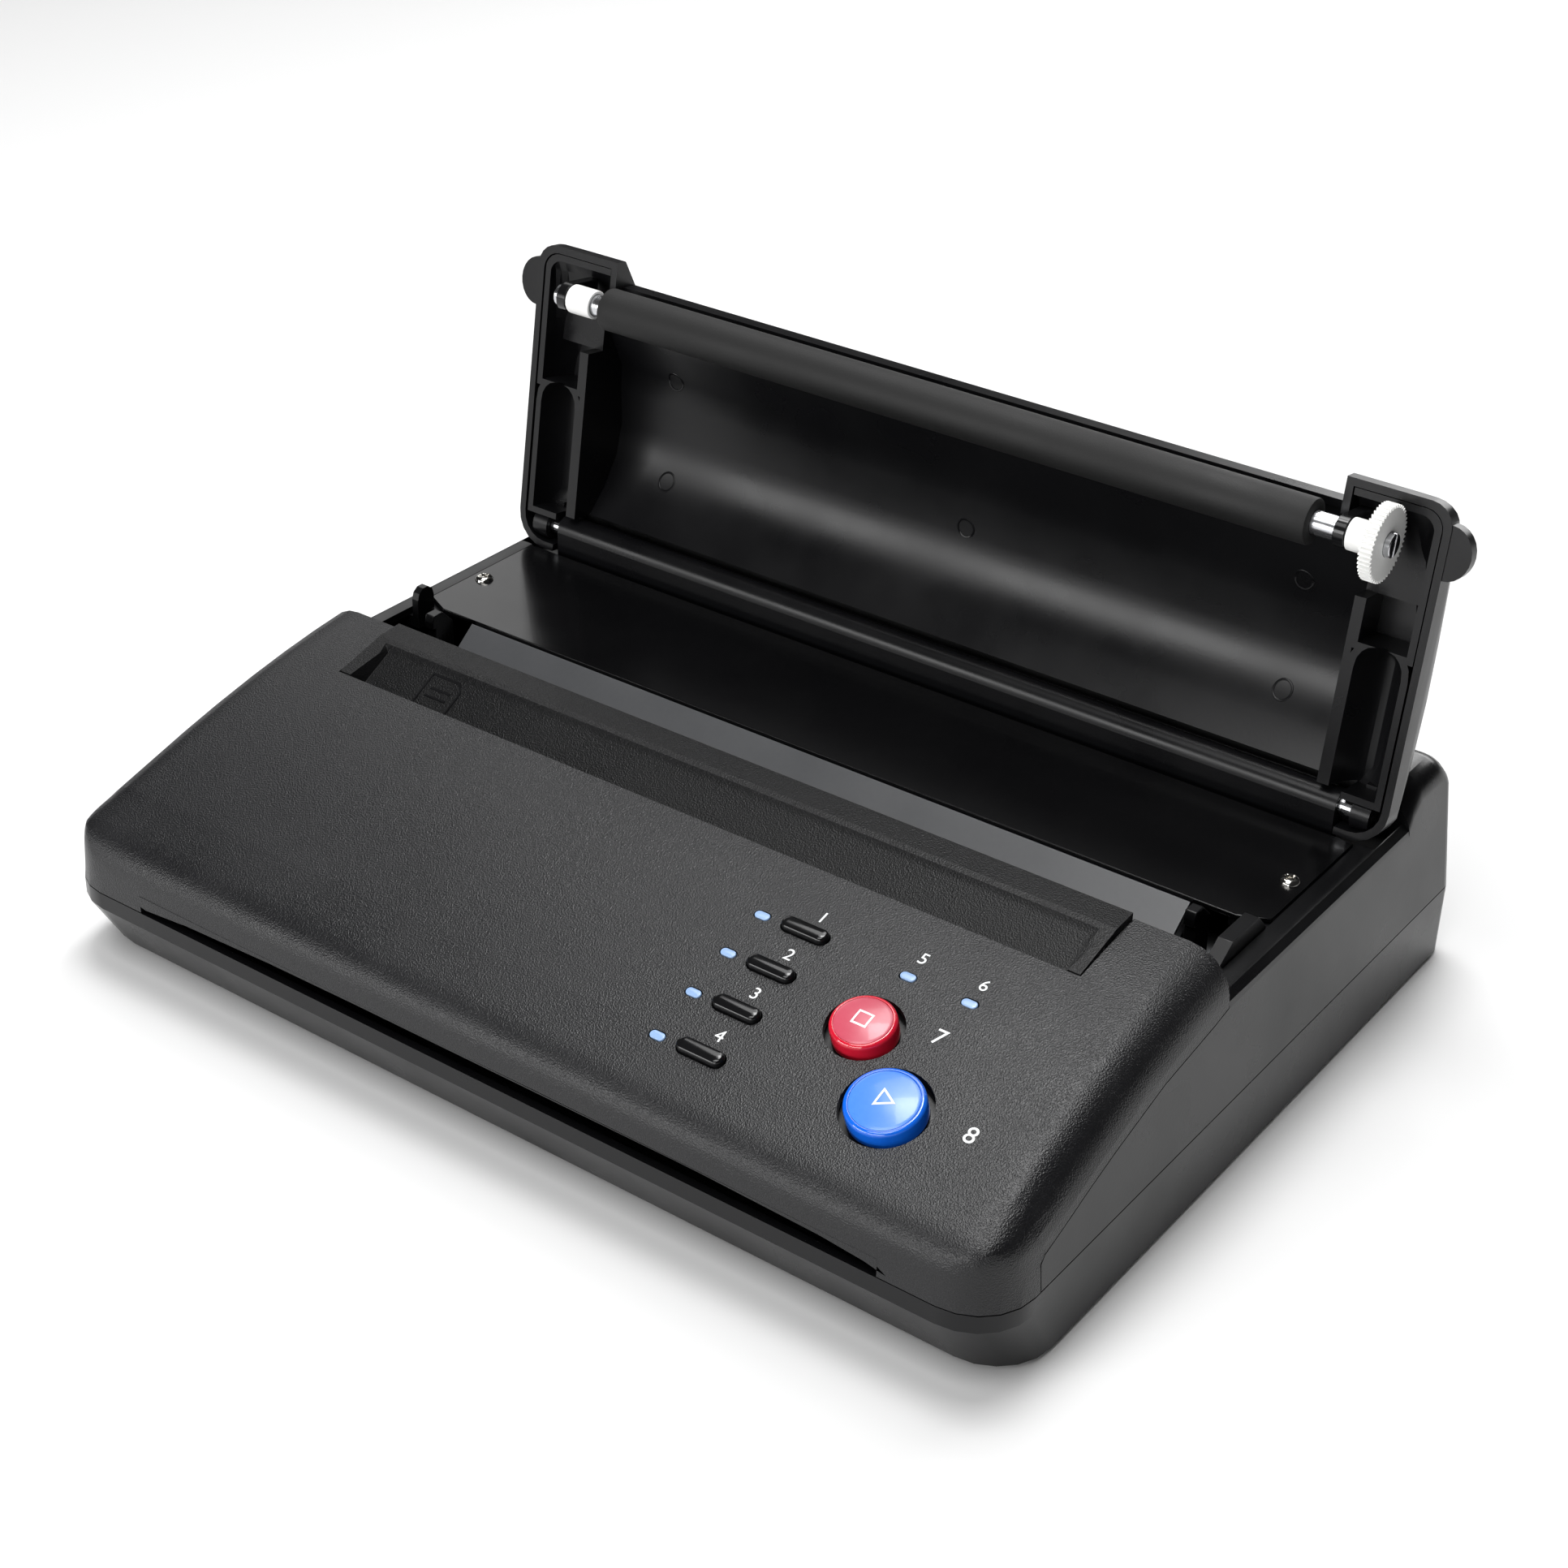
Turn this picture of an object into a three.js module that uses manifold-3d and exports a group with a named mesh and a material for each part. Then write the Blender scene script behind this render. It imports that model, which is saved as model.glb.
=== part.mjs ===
import * as THREE from "three";
import { mergeVertices } from "three/addons/utils/BufferGeometryUtils.js";
import Module from "manifold-3d";

// A thermal stencil copier with its lid open. Lengths are millimetres.
// X runs across the front, Y from the front face to the back, Z up from the seam
// between the tray and the covers. The last group moves this frame to the base's centre.

// Case
const caseHalfWidth = 140.8;
const caseDepth = 220;
const trayHeight = 20;
const footLift = 1.2;
const frontCornerRadius = 15;
const rearCornerRadius = 5;
const sideDraftDegrees = 5;
const rearDraftDegrees = 6;
const wall = 2.2;
const seamGap = 0.3;
const overrun = 1;
const trayLip = 4.5;
const trayChamferDepth = 9.1;
const footRadius = 7;
const footInset = 22;
const footSocketDepth = 0.8;

// Width across the paper path, set by the case and the bays beside the roller
const sideBay = 33.8;
const rubberHalfLength = caseHalfWidth - sideBay;
const ledgeWidth = 8.9;
const ledgeInner = caseHalfWidth - ledgeWidth;

// Front cover
const coverDepth = 97.3;
const coverHeight = 40;
const coverFaceHeight = 8;
const coverNoseRadius = 9;
const coverRiseDegrees = 21.1;
const coverKneeReach = 49.2;
const flankRadius = 11;
const skirtFront = 17.2;
const skirtFrontHeight = 7.2;
const skirtShares = [[0.02, 0.08], [0.15, 0.24], [0.25, 0.37], [0.38, 0.52], [0.64, 0.78], [0.92, 0.93]];
const slotMargin = 4;
const slotHalfWidth = rubberHalfLength + slotMargin;
const slotHeight = 5;

// Document trough and ridge
const ridgeRise = 1.5;
const ridgeHeight = coverHeight + ridgeRise;
const ridgeStep = 0.6;
const ridgeDepth = 7.1;
const ridgeFront = coverDepth - ridgeDepth;
const troughReach = 22.8;
const troughFront = coverDepth - troughReach;
const troughMargin = 5.3;
const troughHalfWidth = rubberHalfLength + troughMargin;
const troughEndRun = 5.6;
const troughLipRun = 2.1;
const troughFloorFront = troughFront + troughLipRun;
const troughFloorDrop = 3.76;
const ridgeFootRun = 3.1;
const troughFloorRear = ridgeFront - ridgeFootRun;
const troughFloorRise = 5.6;
const rampReach = 9;
const rampDrop = 6.4;
const rampWall = 1.8;
const ridgeFlangeDepth = 12;

// Rear casing
const ledgeHeight = 30.2;
const shoulderHeight = 3.8;
const sideTop = ledgeHeight - shoulderHeight;
const ledgeLipReach = 9.9;
const ledgeLipInner = ledgeInner - ledgeLipReach;
const skirtLap = 0.5;
const skirtRearHeight = sideTop + skirtLap;
const ledgeShoulderShares = [[0.05, 0.45], [0.3, 0.9]];
const wellReach = 46;
const wellFront = caseDepth - wellReach;
const wellDrop = 4.2;
const wellFloor = ledgeHeight - wellDrop;
const plateGap = 1;
const plateRear = wellFront - plateGap;
const humpDepth = 29.6;
const humpFront = caseDepth - humpDepth;
const humpHeight = coverHeight;
const humpLean = 6.6;
const wellTuck = 5.5;
const humpLeanRise = 8;
const humpLeanStart = wellFloor + humpLeanRise;
const humpFillet = 7;
const humpRingGap = 0.07;
const humpRearRun = 13;
const humpTopRear = caseDepth - humpRearRun;
const postRadius = 3.2;
const postInset = 2.3;
const postOffset = ledgeInner - postInset;
const postSetback = 15.5;
const postRise = 6.3;
const postHeight = ledgeHeight + postRise;

// Feed plate and its screws
const plateProud = 0.3;
const plateTop = ledgeHeight + plateProud;
const plateThickness = 1.2;
const plateCornerCut = 7.5;
const screwInset = 4.8;
const screwOffset = ledgeInner - screwInset;
const screwDepthShare = 0.448;
const screwHeadRadius = 2.6;
const screwCrownShare = 0.7;
const screwArmShare = 0.6;
const screwHeadHeight = 1.3;
const screwRadius = 1.5;
const screwLength = 7;
const screwRecess = 0.7;
const screwBossRadius = 3.6;

// Lid, in its closed position
const hingeReach = 40;
const hingeDepth = caseDepth - hingeReach;
const hingeRise = 5.3;
const hingeHeight = ledgeHeight + hingeRise;
const lidOpenDegrees = 98.4;
const railRadius = 4;
const railWebThickness = 3.3;
const pinRadius = 2.5;
const pinLength = 14.3;
const pinSeat = 6;
const lidInset = 2.8;
const lidHalfWidth = caseHalfWidth - lidInset;
const lidFrontGap = 1;
const lidFront = coverDepth + lidFrontGap;
const lidOverhang = 6.3;
const lidRear = hingeDepth + lidOverhang;
const railInset = 14;
const railHalfLength = lidHalfWidth - railInset;
const rimGap = 0.7;
const lidRim = ledgeHeight + rimGap;
const lidFrontRise = 3.6;
const lidFrontHeight = lidRim + lidFrontRise;
const lidThickness = 22.6;
const lidCrown = lidRim + lidThickness;
const lidNose = [7.4, 5.3];
const lidCrownShares = [[0.244, 0.62], [0.414, 0.87], [0.585, 1], [0.733, 0.86]];
const lidTail = [[12.5, 11.4], [5, 7.4], [0, 2.5]];
const lidSideShare = 0.6;
const lidSideHeight = 5.6;
const lidFillet = 16;
const lidFrontCorner = 6;
const lidRearCorner = 9.5;
const lidWall = 2;
const lidUnderRun = 6;
const lidNotchMargin = 3.3;
const lidNotchHalfWidth = rubberHalfLength + lidNotchMargin;
const lidNotchDepth = 7.3;
const lidNotchRise = 3.8;
const lidNotchEdge = lidRim + lidNotchRise;
const railEndGap = 0.8;
const lidRearNotchHalfWidth = railHalfLength + railEndGap;
const lidRearNotchRise = 7.1;
const lidRearNotchEdge = lidRim + lidRearNotchRise;
const tabReach = 6;
const tabHalfWidth = 6.85;
const tabHeight = 3;
const tabSetback = 11.35;
const tabCentre = lidFront + tabSetback;
const frameWall = 1.8;
const skirtInset = 2.3;
const skirtOuter = lidHalfWidth - skirtInset;
const skirtWall = 1.9;
const panelInset = 20;
const panelHalfWidth = lidHalfWidth - panelInset;
const panelFrontRise = 3.9;
const panelFrontHeight = lidRim + panelFrontRise;
const panelCover = 4;
const panelPeak = lidCrown - panelCover;
const panelFrontRun = 7.4;
const panelFrontEdge = lidFront + panelFrontRun;
const panelRearRun = 5.3;
const panelRearEdge = hingeDepth - panelRearRun;
const panelShares = [[0, 0], [0.242, 0.435], [0.374, 0.83], [0.481, 0.871], [0.625, 1],
  [0.764, 0.912], [0.894, 0.62], [1, 0.231]];
const earRun = 27.7;
const earRear = lidFront + earRun;
const earHeight = 6.6;
const earCeiling = lidRim + earHeight;
const shelfRearShare = 0.2245;
const shelfHeight = 11.1;
const shelfCeiling = lidRim + shelfHeight;
const pocketWall = 3;
const pocketInner = panelHalfWidth + pocketWall;
const pocketDepth = 11;
const grooveShares = [[0, 0.35], [0.1, 0.6], [0.3, 0.8], [0.6, 0.95], [1, 1]];
const grooveSteps = 12;
const pocketRearRun = 5;
const endPocketRear = hingeDepth - pocketRearRun;
const shelfRear = earRear + shelfRearShare * (endPocketRear - earRear);
const lugRadius = 4.4;
const lugGap = 4;
const lugInner = railHalfLength + lugGap;
const lugThickness = 5;
const barrelClearance = 1.2;

// Platen roller carried by the lid
const platenSetback = 12.2;
const platenDepth = coverDepth + platenSetback;
const platenBay = 17.5;
const pocketRear = platenDepth + platenBay;
const postDepth = platenDepth + postSetback;
const screwDepth = pocketRear + screwDepthShare * (plateRear - pocketRear);
const platenDrop = 10.8;
const platenHeight = hingeHeight - platenDrop;
const rubberRadius = 5.85;
const shaftRadius = 3;
const shaftLeftReach = 17.5;
const shaftLeftEnd = rubberHalfLength + shaftLeftReach;
const shaftRightReach = 20.6;
const shaftRightEnd = rubberHalfLength + shaftRightReach;
const shaftClearance = 0.15;
const bearingHalfWidth = 4;
const bearingRightGap = 6.4;
const bearingPlateRight = rubberHalfLength + bearingRightGap;
const bearingPlateThickness = 3;
const earWall = 1.2;
const earInner = bearingPlateRight - earWall;
const bearingLeftGap = 12.8;
const bearingPlateLeft = rubberHalfLength + bearingLeftGap;
const bushGap = 4.5;
const bushInner = rubberHalfLength + bushGap;
const bushRadius = 4;
const hubGap = 0.3;
const hubInner = bearingPlateRight + bearingPlateThickness + hubGap;
const gearReach = 15.8;
const gearInner = rubberHalfLength + gearReach;
const gearWidth = 3.2;
const gearModule = 0.385;
const gearRootShare = 1.25;
const gearTipShare = 0.9;
const toothRootShare = 0.32;
const toothTipShare = 0.12;
const platenTeeth = 48;
const bearingRise = 4.4;
const bearingTop = lidRim + bearingRise;

// Gear train in the base
const driveTeeth = 32;
const idlerTeeth = 24;
const pinionTeeth = 14;
const driveAngleDegrees = -52;
const idlerAngleDegrees = -30;
const pinionAngleDegrees = -20;
const meshClearance = 0.12;
const gearPinRadius = 1.5;
const bracketPlateGap = 2.4;
const bracketPlate = gearInner - bracketPlateGap;
const bracketPlateThickness = 1.8;
const bracketWallGap = 1.9;
const bracketWallInner = gearInner + gearWidth + bracketWallGap;
const bracketWallThickness = 3.8;
const bracketFrontRun = 6.3;
const bracketFront = platenDepth - bracketFrontRun;
const bracketRearRun = 35.5;
const bracketRear = platenDepth + bracketRearRun;
const bracketRise = 4.1;
const bracketTop = lidRim + bracketRise;
const bracketPlateTop = 16;
const motorRadius = 12;
const motorLength = 32;
const motorBossRadius = 4;
const runningGap = 0.3;

// Thermal head
const headSlopeDegrees = 38.7;
const headMargin = 5.4;
const headHalfWidth = rubberHalfLength + headMargin;
const headUp = 16;
const headDown = 15;
const headBoardThickness = 1.2;
const sinkThickness = 7;
const sinkFinCount = 4;
const sinkFinDepth = 4;
const headSpringShare = 0.6228;
const headSpringLead = 0.5;
const headSpringDepth = platenDepth - headSpringLead;
const springRadius = 3.6;
const springWire = 0.5;
const springTurns = 7;
const springSteps = 8;
const springSides = 5;
const cradleInset = 9;
const cradleOffset = rubberHalfLength - cradleInset;
const cradleThickness = 3;
const cradleFrontRun = 10.5;
const cradleFront = platenDepth - cradleFrontRun;
const cradleRearRun = 13.3;
const cradleRear = platenDepth + cradleRearRun;

// Latch
const latchSetback = 9;
const latchDepth = platenDepth + latchSetback;
const latchPivotDrop = 15.7;
const latchPivotHeight = platenHeight - latchPivotDrop;
const latchShaftRadius = 2;
const latchShaftReach = 12.9;
const latchShaftHalfLength = rubberHalfLength + latchShaftReach;
const hookThickness = 3;
const hookRightReach = 9.7;
const hookRightInner = rubberHalfLength + hookRightReach;
const hookLeftReach = 11.8;
const hookLeftOuter = rubberHalfLength + hookLeftReach;
const hookTipLead = 4.5;
const hookTipDepth = latchDepth - hookTipLead;
const hookTipGap = 0.6;
const hookTipHeight = lidRim + hookTipGap;
const hookTipThickness = 4;
const hookTopHeight = hookTipHeight + hookTipThickness;
const hookHubRadius = 4.4;
const hookWidthShare = 0.8;

// Panel controls
const controlTravel = 1.2;
const controlGap = 0.35;
const panelMargin = 22.8;
const controlsRight = caseHalfWidth - panelMargin;
const keyColumnInset = 66.9;
const keyColumn = controlsRight - keyColumnInset;
const keyDepthShares = [0.753, 0.5785, 0.4081, 0.2336];
const keyDepths = keyDepthShares.map((share) => share * troughFront);
const keyLength = 12.6;
const keyWidth = 4;
const keyRise = 1.7;
const keySkirt = 0.8;
const ledColumnInset = 78.7;
const ledColumn = controlsRight - ledColumnInset;
const ledDepthShares = [0.7463, 0.5732, 0.4013, 0.2268];
const ledDepths = ledDepthShares.map((share) => share * troughFront);
const statusInsets = [38.5, 22.1];
const statusDepthShare = 0.749;
const statusLedPlaces = statusInsets.map((inset) => [controlsRight - inset, statusDepthShare * troughFront]);
const ledLength = 4;
const ledWidth = 2.2;
const ledRise = 0.25;
const ledDrop = 5.2;
const stopInset = 38.6;
const stopDepthShare = 0.5262;
const stopPlace = [controlsRight - stopInset, stopDepthShare * troughFront];
const stopRadius = 7.75;
const copyInset = 22.1;
const copyDepthShare = 0.3208;
const copyPlace = [controlsRight - copyInset, copyDepthShare * troughFront];
const copyRadius = 9.2;
const wellMargin = 1.55;
const capRise = 3.2;
const capDomeShare = 0.35;
const capCrownShares = [[1, 0.8], [0.6, 0.95], [0, 1]];
const capRimShare = 0.84;
const capSkirt = 4.2;
const keyBoardDrop = 7.6;
const keyBoardThickness = 1.6;
const keyBoardLength = 86;
const keyBoardLeft = controlsRight - keyBoardLength;
const keyBoardRight = controlsRight;
const keyBoardFront = 11;
const keyBoardRearGap = 11.5;
const keyBoardRear = troughFront - keyBoardRearGap;

// Document feed inside the front half
const scanLead = 18.5;
const scanDepth = troughFront - scanLead;
const scanBoardGap = 1.44;
const scanRollerRadius = 6;
const scanShaftRadius = 2.5;
const scanShaftReach = 16.6;
const scanShaftHalfLength = rubberHalfLength + scanShaftReach;
const scanCheekGap = 6.5;
const scanCheek = rubberHalfLength + scanCheekGap;
const scanCheekThickness = 2.6;
const scanCheekHalfWidth = 4.4;
const scanGearReach = 12.8;
const scanGearInner = rubberHalfLength + scanGearReach;
const scanGearTeeth = 64;
const scanGearWidth = 3;
const scanMotorAngleDegrees = -36;
const scanMotorRadius = 7.5;
const scanMotorLength = 26;
const sensorMargin = 1;
const sensorHalfWidth = rubberHalfLength + sensorMargin;
const sensorDepth = 8.8;

// Electrics
const boardPost = 3;
const boardFrontRun = 23;
const boardRearRun = 15;
const mainBoardDepths = [pocketRear + boardFrontRun, caseDepth - boardRearRun];
const mainBoardInner = 20;
const mainBoardSpan = [panelMargin - caseHalfWidth, -mainBoardInner];
const boardPostInset = 4;
const boardThickness = 1.6;
const chipShares = [[0.1, 0.3, 0.2, 0.7], [0.45, 0.65, 0.15, 0.45], [0.45, 0.85, 0.6, 0.85]];
const chipHeight = 4;
const supplyLeft = 5;
const supplyMotorGap = 4.4;
const supplySpan = [-supplyLeft, bracketPlate - motorLength - supplyMotorGap];
const supplyFrontRun = 25;
const supplyRearRun = 14;
const supplyDepths = [pocketRear + supplyFrontRun, caseDepth - supplyRearRun];
const supplyHeight = 26;
const inletCentre = -62;
const inletWidth = 27;
const inletHeight = 19.6;
const inletCorner = 5;
const inletSink = 2.8;
const inletFace = caseDepth - inletSink;
const inletDepth = 20;
const inletCavityDepth = 15;
const inletWall = 2.4;
const inletBlade = [1.2, 3.2];
const inletBladePitch = 7;
const socketCentreHeight = 15.5;
const switchCentre = -24;
const switchWidth = 15;
const switchHeight = 21;
const rockerWidth = 10.5;
const rockerHeight = 16.5;
const rockerRadius = 5;
const rockerRelief = 1;
const rockerLowShare = 0.2;
const rockerDegrees = 10;
const switchDepth = 14;

const wasm = await Module();
wasm.setup();
const radians = THREE.MathUtils.degToRad;
const arcSteps = 5;
const roundSides = 20;
const mergeDistance = 1e-5;

// Turns a closed three.js geometry into a solid that can be joined and cut
function solidOf(geometry) {
  const bare = geometry.index ? geometry.toNonIndexed() : geometry.clone();
  bare.deleteAttribute("normal");
  bare.deleteAttribute("uv");
  const merged = mergeVertices(bare, mergeDistance);
  const build = (order) => new wasm.Manifold(new wasm.Mesh({
    numProp: 3,
    vertProperties: new Float32Array(merged.attributes.position.array),
    triVerts: new Uint32Array(order),
  }));
  const order = Array.from(merged.index.array).filter((_, i, all) => notFolded(all, i));
  const solid = build(order);
  return solid.volume() < 0 ? build(order.reverse()) : solid;
}

// A triangle whose corners were merged together is left out
function notFolded(order, i) {
  const [a, b, c] = order.slice(i - (i % 3), i - (i % 3) + 3);
  return a !== b && b !== c && c !== a;
}

// Turns a solid back into a flat-shaded geometry
function geometryOf(solid) {
  const mesh = solid.getMesh();
  const geometry = new THREE.BufferGeometry();
  geometry.setAttribute("position", new THREE.BufferAttribute(new Float32Array(mesh.vertProperties), 3));
  geometry.setIndex(Array.from(mesh.triVerts));
  const flat = geometry.toNonIndexed();
  flat.computeVertexNormals();
  return flat;
}

function joined(...solids) {
  return solids.reduce((whole, next) => whole.add(next));
}

function cut(solid, ...tools) {
  return tools.reduce((whole, next) => whole.subtract(next), solid);
}

function box([x0, x1], [y0, y1], [z0, z1]) {
  const geometry = new THREE.BoxGeometry(x1 - x0, y1 - y0, z1 - z0);
  geometry.translate((x0 + x1) / 2, (y0 + y1) / 2, (z0 + z1) / 2);
  return solidOf(geometry);
}

// Extrudes an outline: along x it is given as [y, z], along y as [x, z], along z as [x, y]
function prism(axis, points, [low, high]) {
  const shape = new THREE.Shape(points.map(([a, b]) => new THREE.Vector2(a, b)));
  const geometry = new THREE.ExtrudeGeometry(shape, { depth: high - low, bevelEnabled: false });
  const place = {
    x: new THREE.Matrix4().set(0, 0, 1, low, 1, 0, 0, 0, 0, 1, 0, 0, 0, 0, 0, 1),
    y: new THREE.Matrix4().set(1, 0, 0, 0, 0, 0, -1, high, 0, 1, 0, 0, 0, 0, 0, 1),
    z: new THREE.Matrix4().makeTranslation(0, 0, low),
  }[axis];
  return solidOf(geometry.applyMatrix4(place));
}

function arc([a, b], [radiusA, radiusB], fromDegrees, toDegrees, steps = arcSteps) {
  return Array.from({ length: steps + 1 }, (_, i) => {
    const angle = radians(fromDegrees + ((toDegrees - fromDegrees) * i) / steps);
    return [a + radiusA * Math.cos(angle), b + radiusB * Math.sin(angle)];
  });
}

function circle(centre, radius, sides = roundSides) {
  return arc(centre, [radius, radius], 0, 360, sides).slice(0, sides);
}

// A round bar or hole along x
function rod(radius, span, [y, z], sides = roundSides) {
  return prism("x", circle([y, z], radius, sides), span);
}

// A rounded rectangle, corners given as front and rear radii
function roundedPlan(halfWidth, front, rear, frontRadius, rearRadius) {
  return [
    ...arc([halfWidth - frontRadius, front + frontRadius], [frontRadius, frontRadius], -90, 0),
    ...arc([halfWidth - rearRadius, rear - rearRadius], [rearRadius, rearRadius], 0, 90),
    ...arc([rearRadius - halfWidth, rear - rearRadius], [rearRadius, rearRadius], 90, 180),
    ...arc([frontRadius - halfWidth, front + frontRadius], [frontRadius, frontRadius], 180, 270),
  ];
}

// Joins rings of equal length, each a list of [x, y, z], into one closed solid
function loft(rings) {
  const count = rings[0].length;
  const positions = rings.flat(2);
  const index = [];
  for (let r = 0; r + 1 < rings.length; r += 1) {
    for (let i = 0; i < count; i += 1) {
      const [a, b] = [r * count + i, r * count + ((i + 1) % count)];
      index.push(a, b, b + count, a, b + count, a + count);
    }
  }
  const last = (rings.length - 1) * count;
  capTriangles(rings[0]).forEach(([a, b, c]) => index.push(a, c, b));
  capTriangles(rings.at(-1)).forEach(([a, b, c]) => index.push(last + a, last + b, last + c));
  const geometry = new THREE.BufferGeometry();
  geometry.setAttribute("position", new THREE.Float32BufferAttribute(positions, 3));
  geometry.setIndex(index);
  return solidOf(geometry);
}

// Fills a flat ring with triangles that run the same way round as the ring
function capTriangles(ring) {
  const spread = [0, 1, 2].map((k) => {
    const values = ring.map((point) => point[k]);
    return Math.max(...values) - Math.min(...values);
  });
  const flat = spread.indexOf(Math.min(...spread));
  const points = ring.map((point) => new THREE.Vector2(point[(flat + 1) % 3], point[(flat + 2) % 3]));
  const triangles = THREE.ShapeUtils.triangulateShape(points, []);
  const first = triangles[0].map((k) => points[k]);
  const sameWay = THREE.ShapeUtils.area(points) * THREE.ShapeUtils.area(first) > 0;
  return sameWay ? triangles : triangles.map(([a, b, c]) => [a, c, b]);
}

// Wraps a solid as a named mesh with its own finish
function piece(name, solid, color, roughness, metalness = 0) {
  const material = new THREE.MeshStandardMaterial({ color, roughness, metalness });
  const mesh = new THREE.Mesh(geometryOf(solid), material);
  mesh.name = name;
  return mesh;
}

const finish = {
  grained: [0x161617, 0.62],
  smooth: [0x1b1b1c, 0.45],
  gloss: [0x0c0c0d, 0.15],
  steel: [0xb8babc, 0.28, 1],
  zinc: [0x9a9da1, 0.4, 1],
  rubber: [0x1a1a1b, 0.85],
  white: [0xefefec, 0.5],
  aluminium: [0x8d9094, 0.45, 1],
  ceramic: [0x3c3e40, 0.35],
  board: [0x1c4a2c, 0.55],
  red: [0xc81e34, 0.2],
  blue: [0x1452c4, 0.2],
  lens: [0x7d9ccc, 0.3],
};

// Mirrors a list of [a, b] in a, to close a symmetrical outline
function bothSides(points) {
  return [...points, ...points.map(([a, b]) => [-a, b]).reverse()];
}

function sum([a, b], [c, d]) {
  return [a + c, b + d];
}

function polar(length, degrees) {
  return [length * Math.cos(radians(degrees)), length * Math.sin(radians(degrees))];
}

// The two ends of a length about its centre, with a margin added to both
function about(centre, length, margin = 0) {
  return [centre - length / 2 - margin, centre + length / 2 + margin];
}

const sideLean = Math.tan(radians(sideDraftDegrees));
const rearLean = Math.tan(radians(rearDraftDegrees));
const sideAt = (height) => caseHalfWidth - height * sideLean;
const rearAt = (height) => caseDepth - height * rearLean;

// The cover's top line from the front face to its rear edge, moved in by inset
function coverProfile(inset) {
  const noseEnd = 90 - coverRiseDegrees;
  const nose = arc([coverNoseRadius, coverFaceHeight],
    [coverNoseRadius - inset, coverNoseRadius - inset], 180, 180 - noseEnd, 4);
  const top = coverKnots().map(([share]) => {
    const { place, slope } = coverPoint(share);
    const tilt = Math.atan(slope);
    return [place[0] + inset * Math.sin(tilt), place[1] - inset * Math.cos(tilt)];
  });
  return [...nose, ...top.slice(1)];
}

function coverKnots() {
  return Array.from({ length: 9 }, (_, i) => [i / 8]);
}

// A point of the top curve, from the nose's end to the cover's rear edge
function coverPoint(share) {
  const rise = radians(coverRiseDegrees);
  const start = [coverNoseRadius * (1 - Math.sin(rise)),
    coverFaceHeight + coverNoseRadius * Math.cos(rise)];
  const knee = [start[0] + coverKneeReach, start[1] + coverKneeReach * Math.tan(rise)];
  const end = [coverDepth, coverHeight];
  const rest = 1 - share;
  const place = [0, 1].map((k) =>
    rest * rest * start[k] + 2 * rest * share * knee[k] + share * share * end[k]);
  const run = [0, 1].map((k) => rest * (knee[k] - start[k]) + share * (end[k] - knee[k]));
  return { place, slope: run[1] / run[0] };
}

// Height and tilt of the cover's top at a depth, found by halving
function coverSurface(depth) {
  let [low, high] = [0, 1];
  for (let i = 0; i < 40; i += 1) {
    const middle = (low + high) / 2;
    [low, high] = coverPoint(middle).place[0] < depth ? [middle, high] : [low, middle];
  }
  const { place, slope } = coverPoint(low);
  return { height: place[1], tilt: Math.atan(slope) };
}

const troughFloorFrontHeight = coverSurface(troughFloorFront).height - troughFloorDrop;
const troughFloorRearHeight = troughFloorFrontHeight + troughFloorRise;

// Height of the key board's underside over the document roller, and the roller under it
const [keyBoardFrontHeight, keyBoardRearHeight] = [keyBoardFront, keyBoardRear]
  .map((depth) => coverSurface(depth).height - keyBoardDrop);
const keyBoardSlope = (keyBoardRearHeight - keyBoardFrontHeight) / (keyBoardRear - keyBoardFront);
const scanRollerHeight = keyBoardFrontHeight + (scanDepth - keyBoardFront) * keyBoardSlope
  - keyBoardThickness - scanRollerRadius - scanBoardGap;

// One cross-section of a covered body: leaning sides, filleted to a flat top
function bodySection(depth, top, bottom, fillet, inset) {
  const radius = Math.max(Math.min(fillet - inset, (top - bottom) / 2), inset / 4);
  const centreHeight = top - radius;
  const touch = centreHeight + radius * Math.sin(radians(sideDraftDegrees));
  const centre = sideAt(touch) - inset - radius * Math.cos(radians(sideDraftDegrees));
  const half = [
    [sideAt(bottom) - inset, bottom],
    ...arc([centre, centreHeight], [radius, radius], sideDraftDegrees, 90, 5),
  ];
  return bothSides(half).map(([x, z]) => [x, depth, z]);
}

// The case's outline in plan, drafted, moved in by inset
function planBody(inset, bottom, top) {
  const ring = (height) => roundedPlan(sideAt(height) - inset, inset, rearAt(height) - inset,
    frontCornerRadius - inset, rearCornerRadius - inset).map(([x, y]) => [x, y, height]);
  return loft([ring(bottom), ring(top)]);
}

function coverBody(inset, bottom, rear) {
  const profile = coverProfile(inset);
  const [, lastHeight] = profile.at(-1);
  const rings = profile.map(([y, z]) => bodySection(y, z, bottom, flankRadius, inset));
  rings.push(bodySection(rear, lastHeight, bottom, flankRadius, inset));
  return loft(rings).intersect(planBody(inset, bottom, coverHeight + wall));
}

function coverShell(rear) {
  return cut(coverBody(0, seamGap, rear), coverBody(wall, seamGap - overrun, rear + overrun));
}

// The stretch of the side that belongs to the rear casing, under the cover's side border
function skirtRegion(margin) {
  const run = coverDepth - skirtFront;
  const rise = skirtRearHeight - skirtFrontHeight;
  const border = skirtShares.map(([a, b]) => [skirtFront + a * run, skirtFrontHeight + b * rise + margin]);
  const outline = [
    [skirtFront - margin, -overrun],
    [skirtFront - margin, skirtFrontHeight + margin],
    ...border,
    [coverDepth + overrun, skirtRearHeight + margin],
    [coverDepth + overrun, -overrun],
  ];
  return prism("x", outline, [-caseHalfWidth - overrun, caseHalfWidth + overrun]);
}

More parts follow.
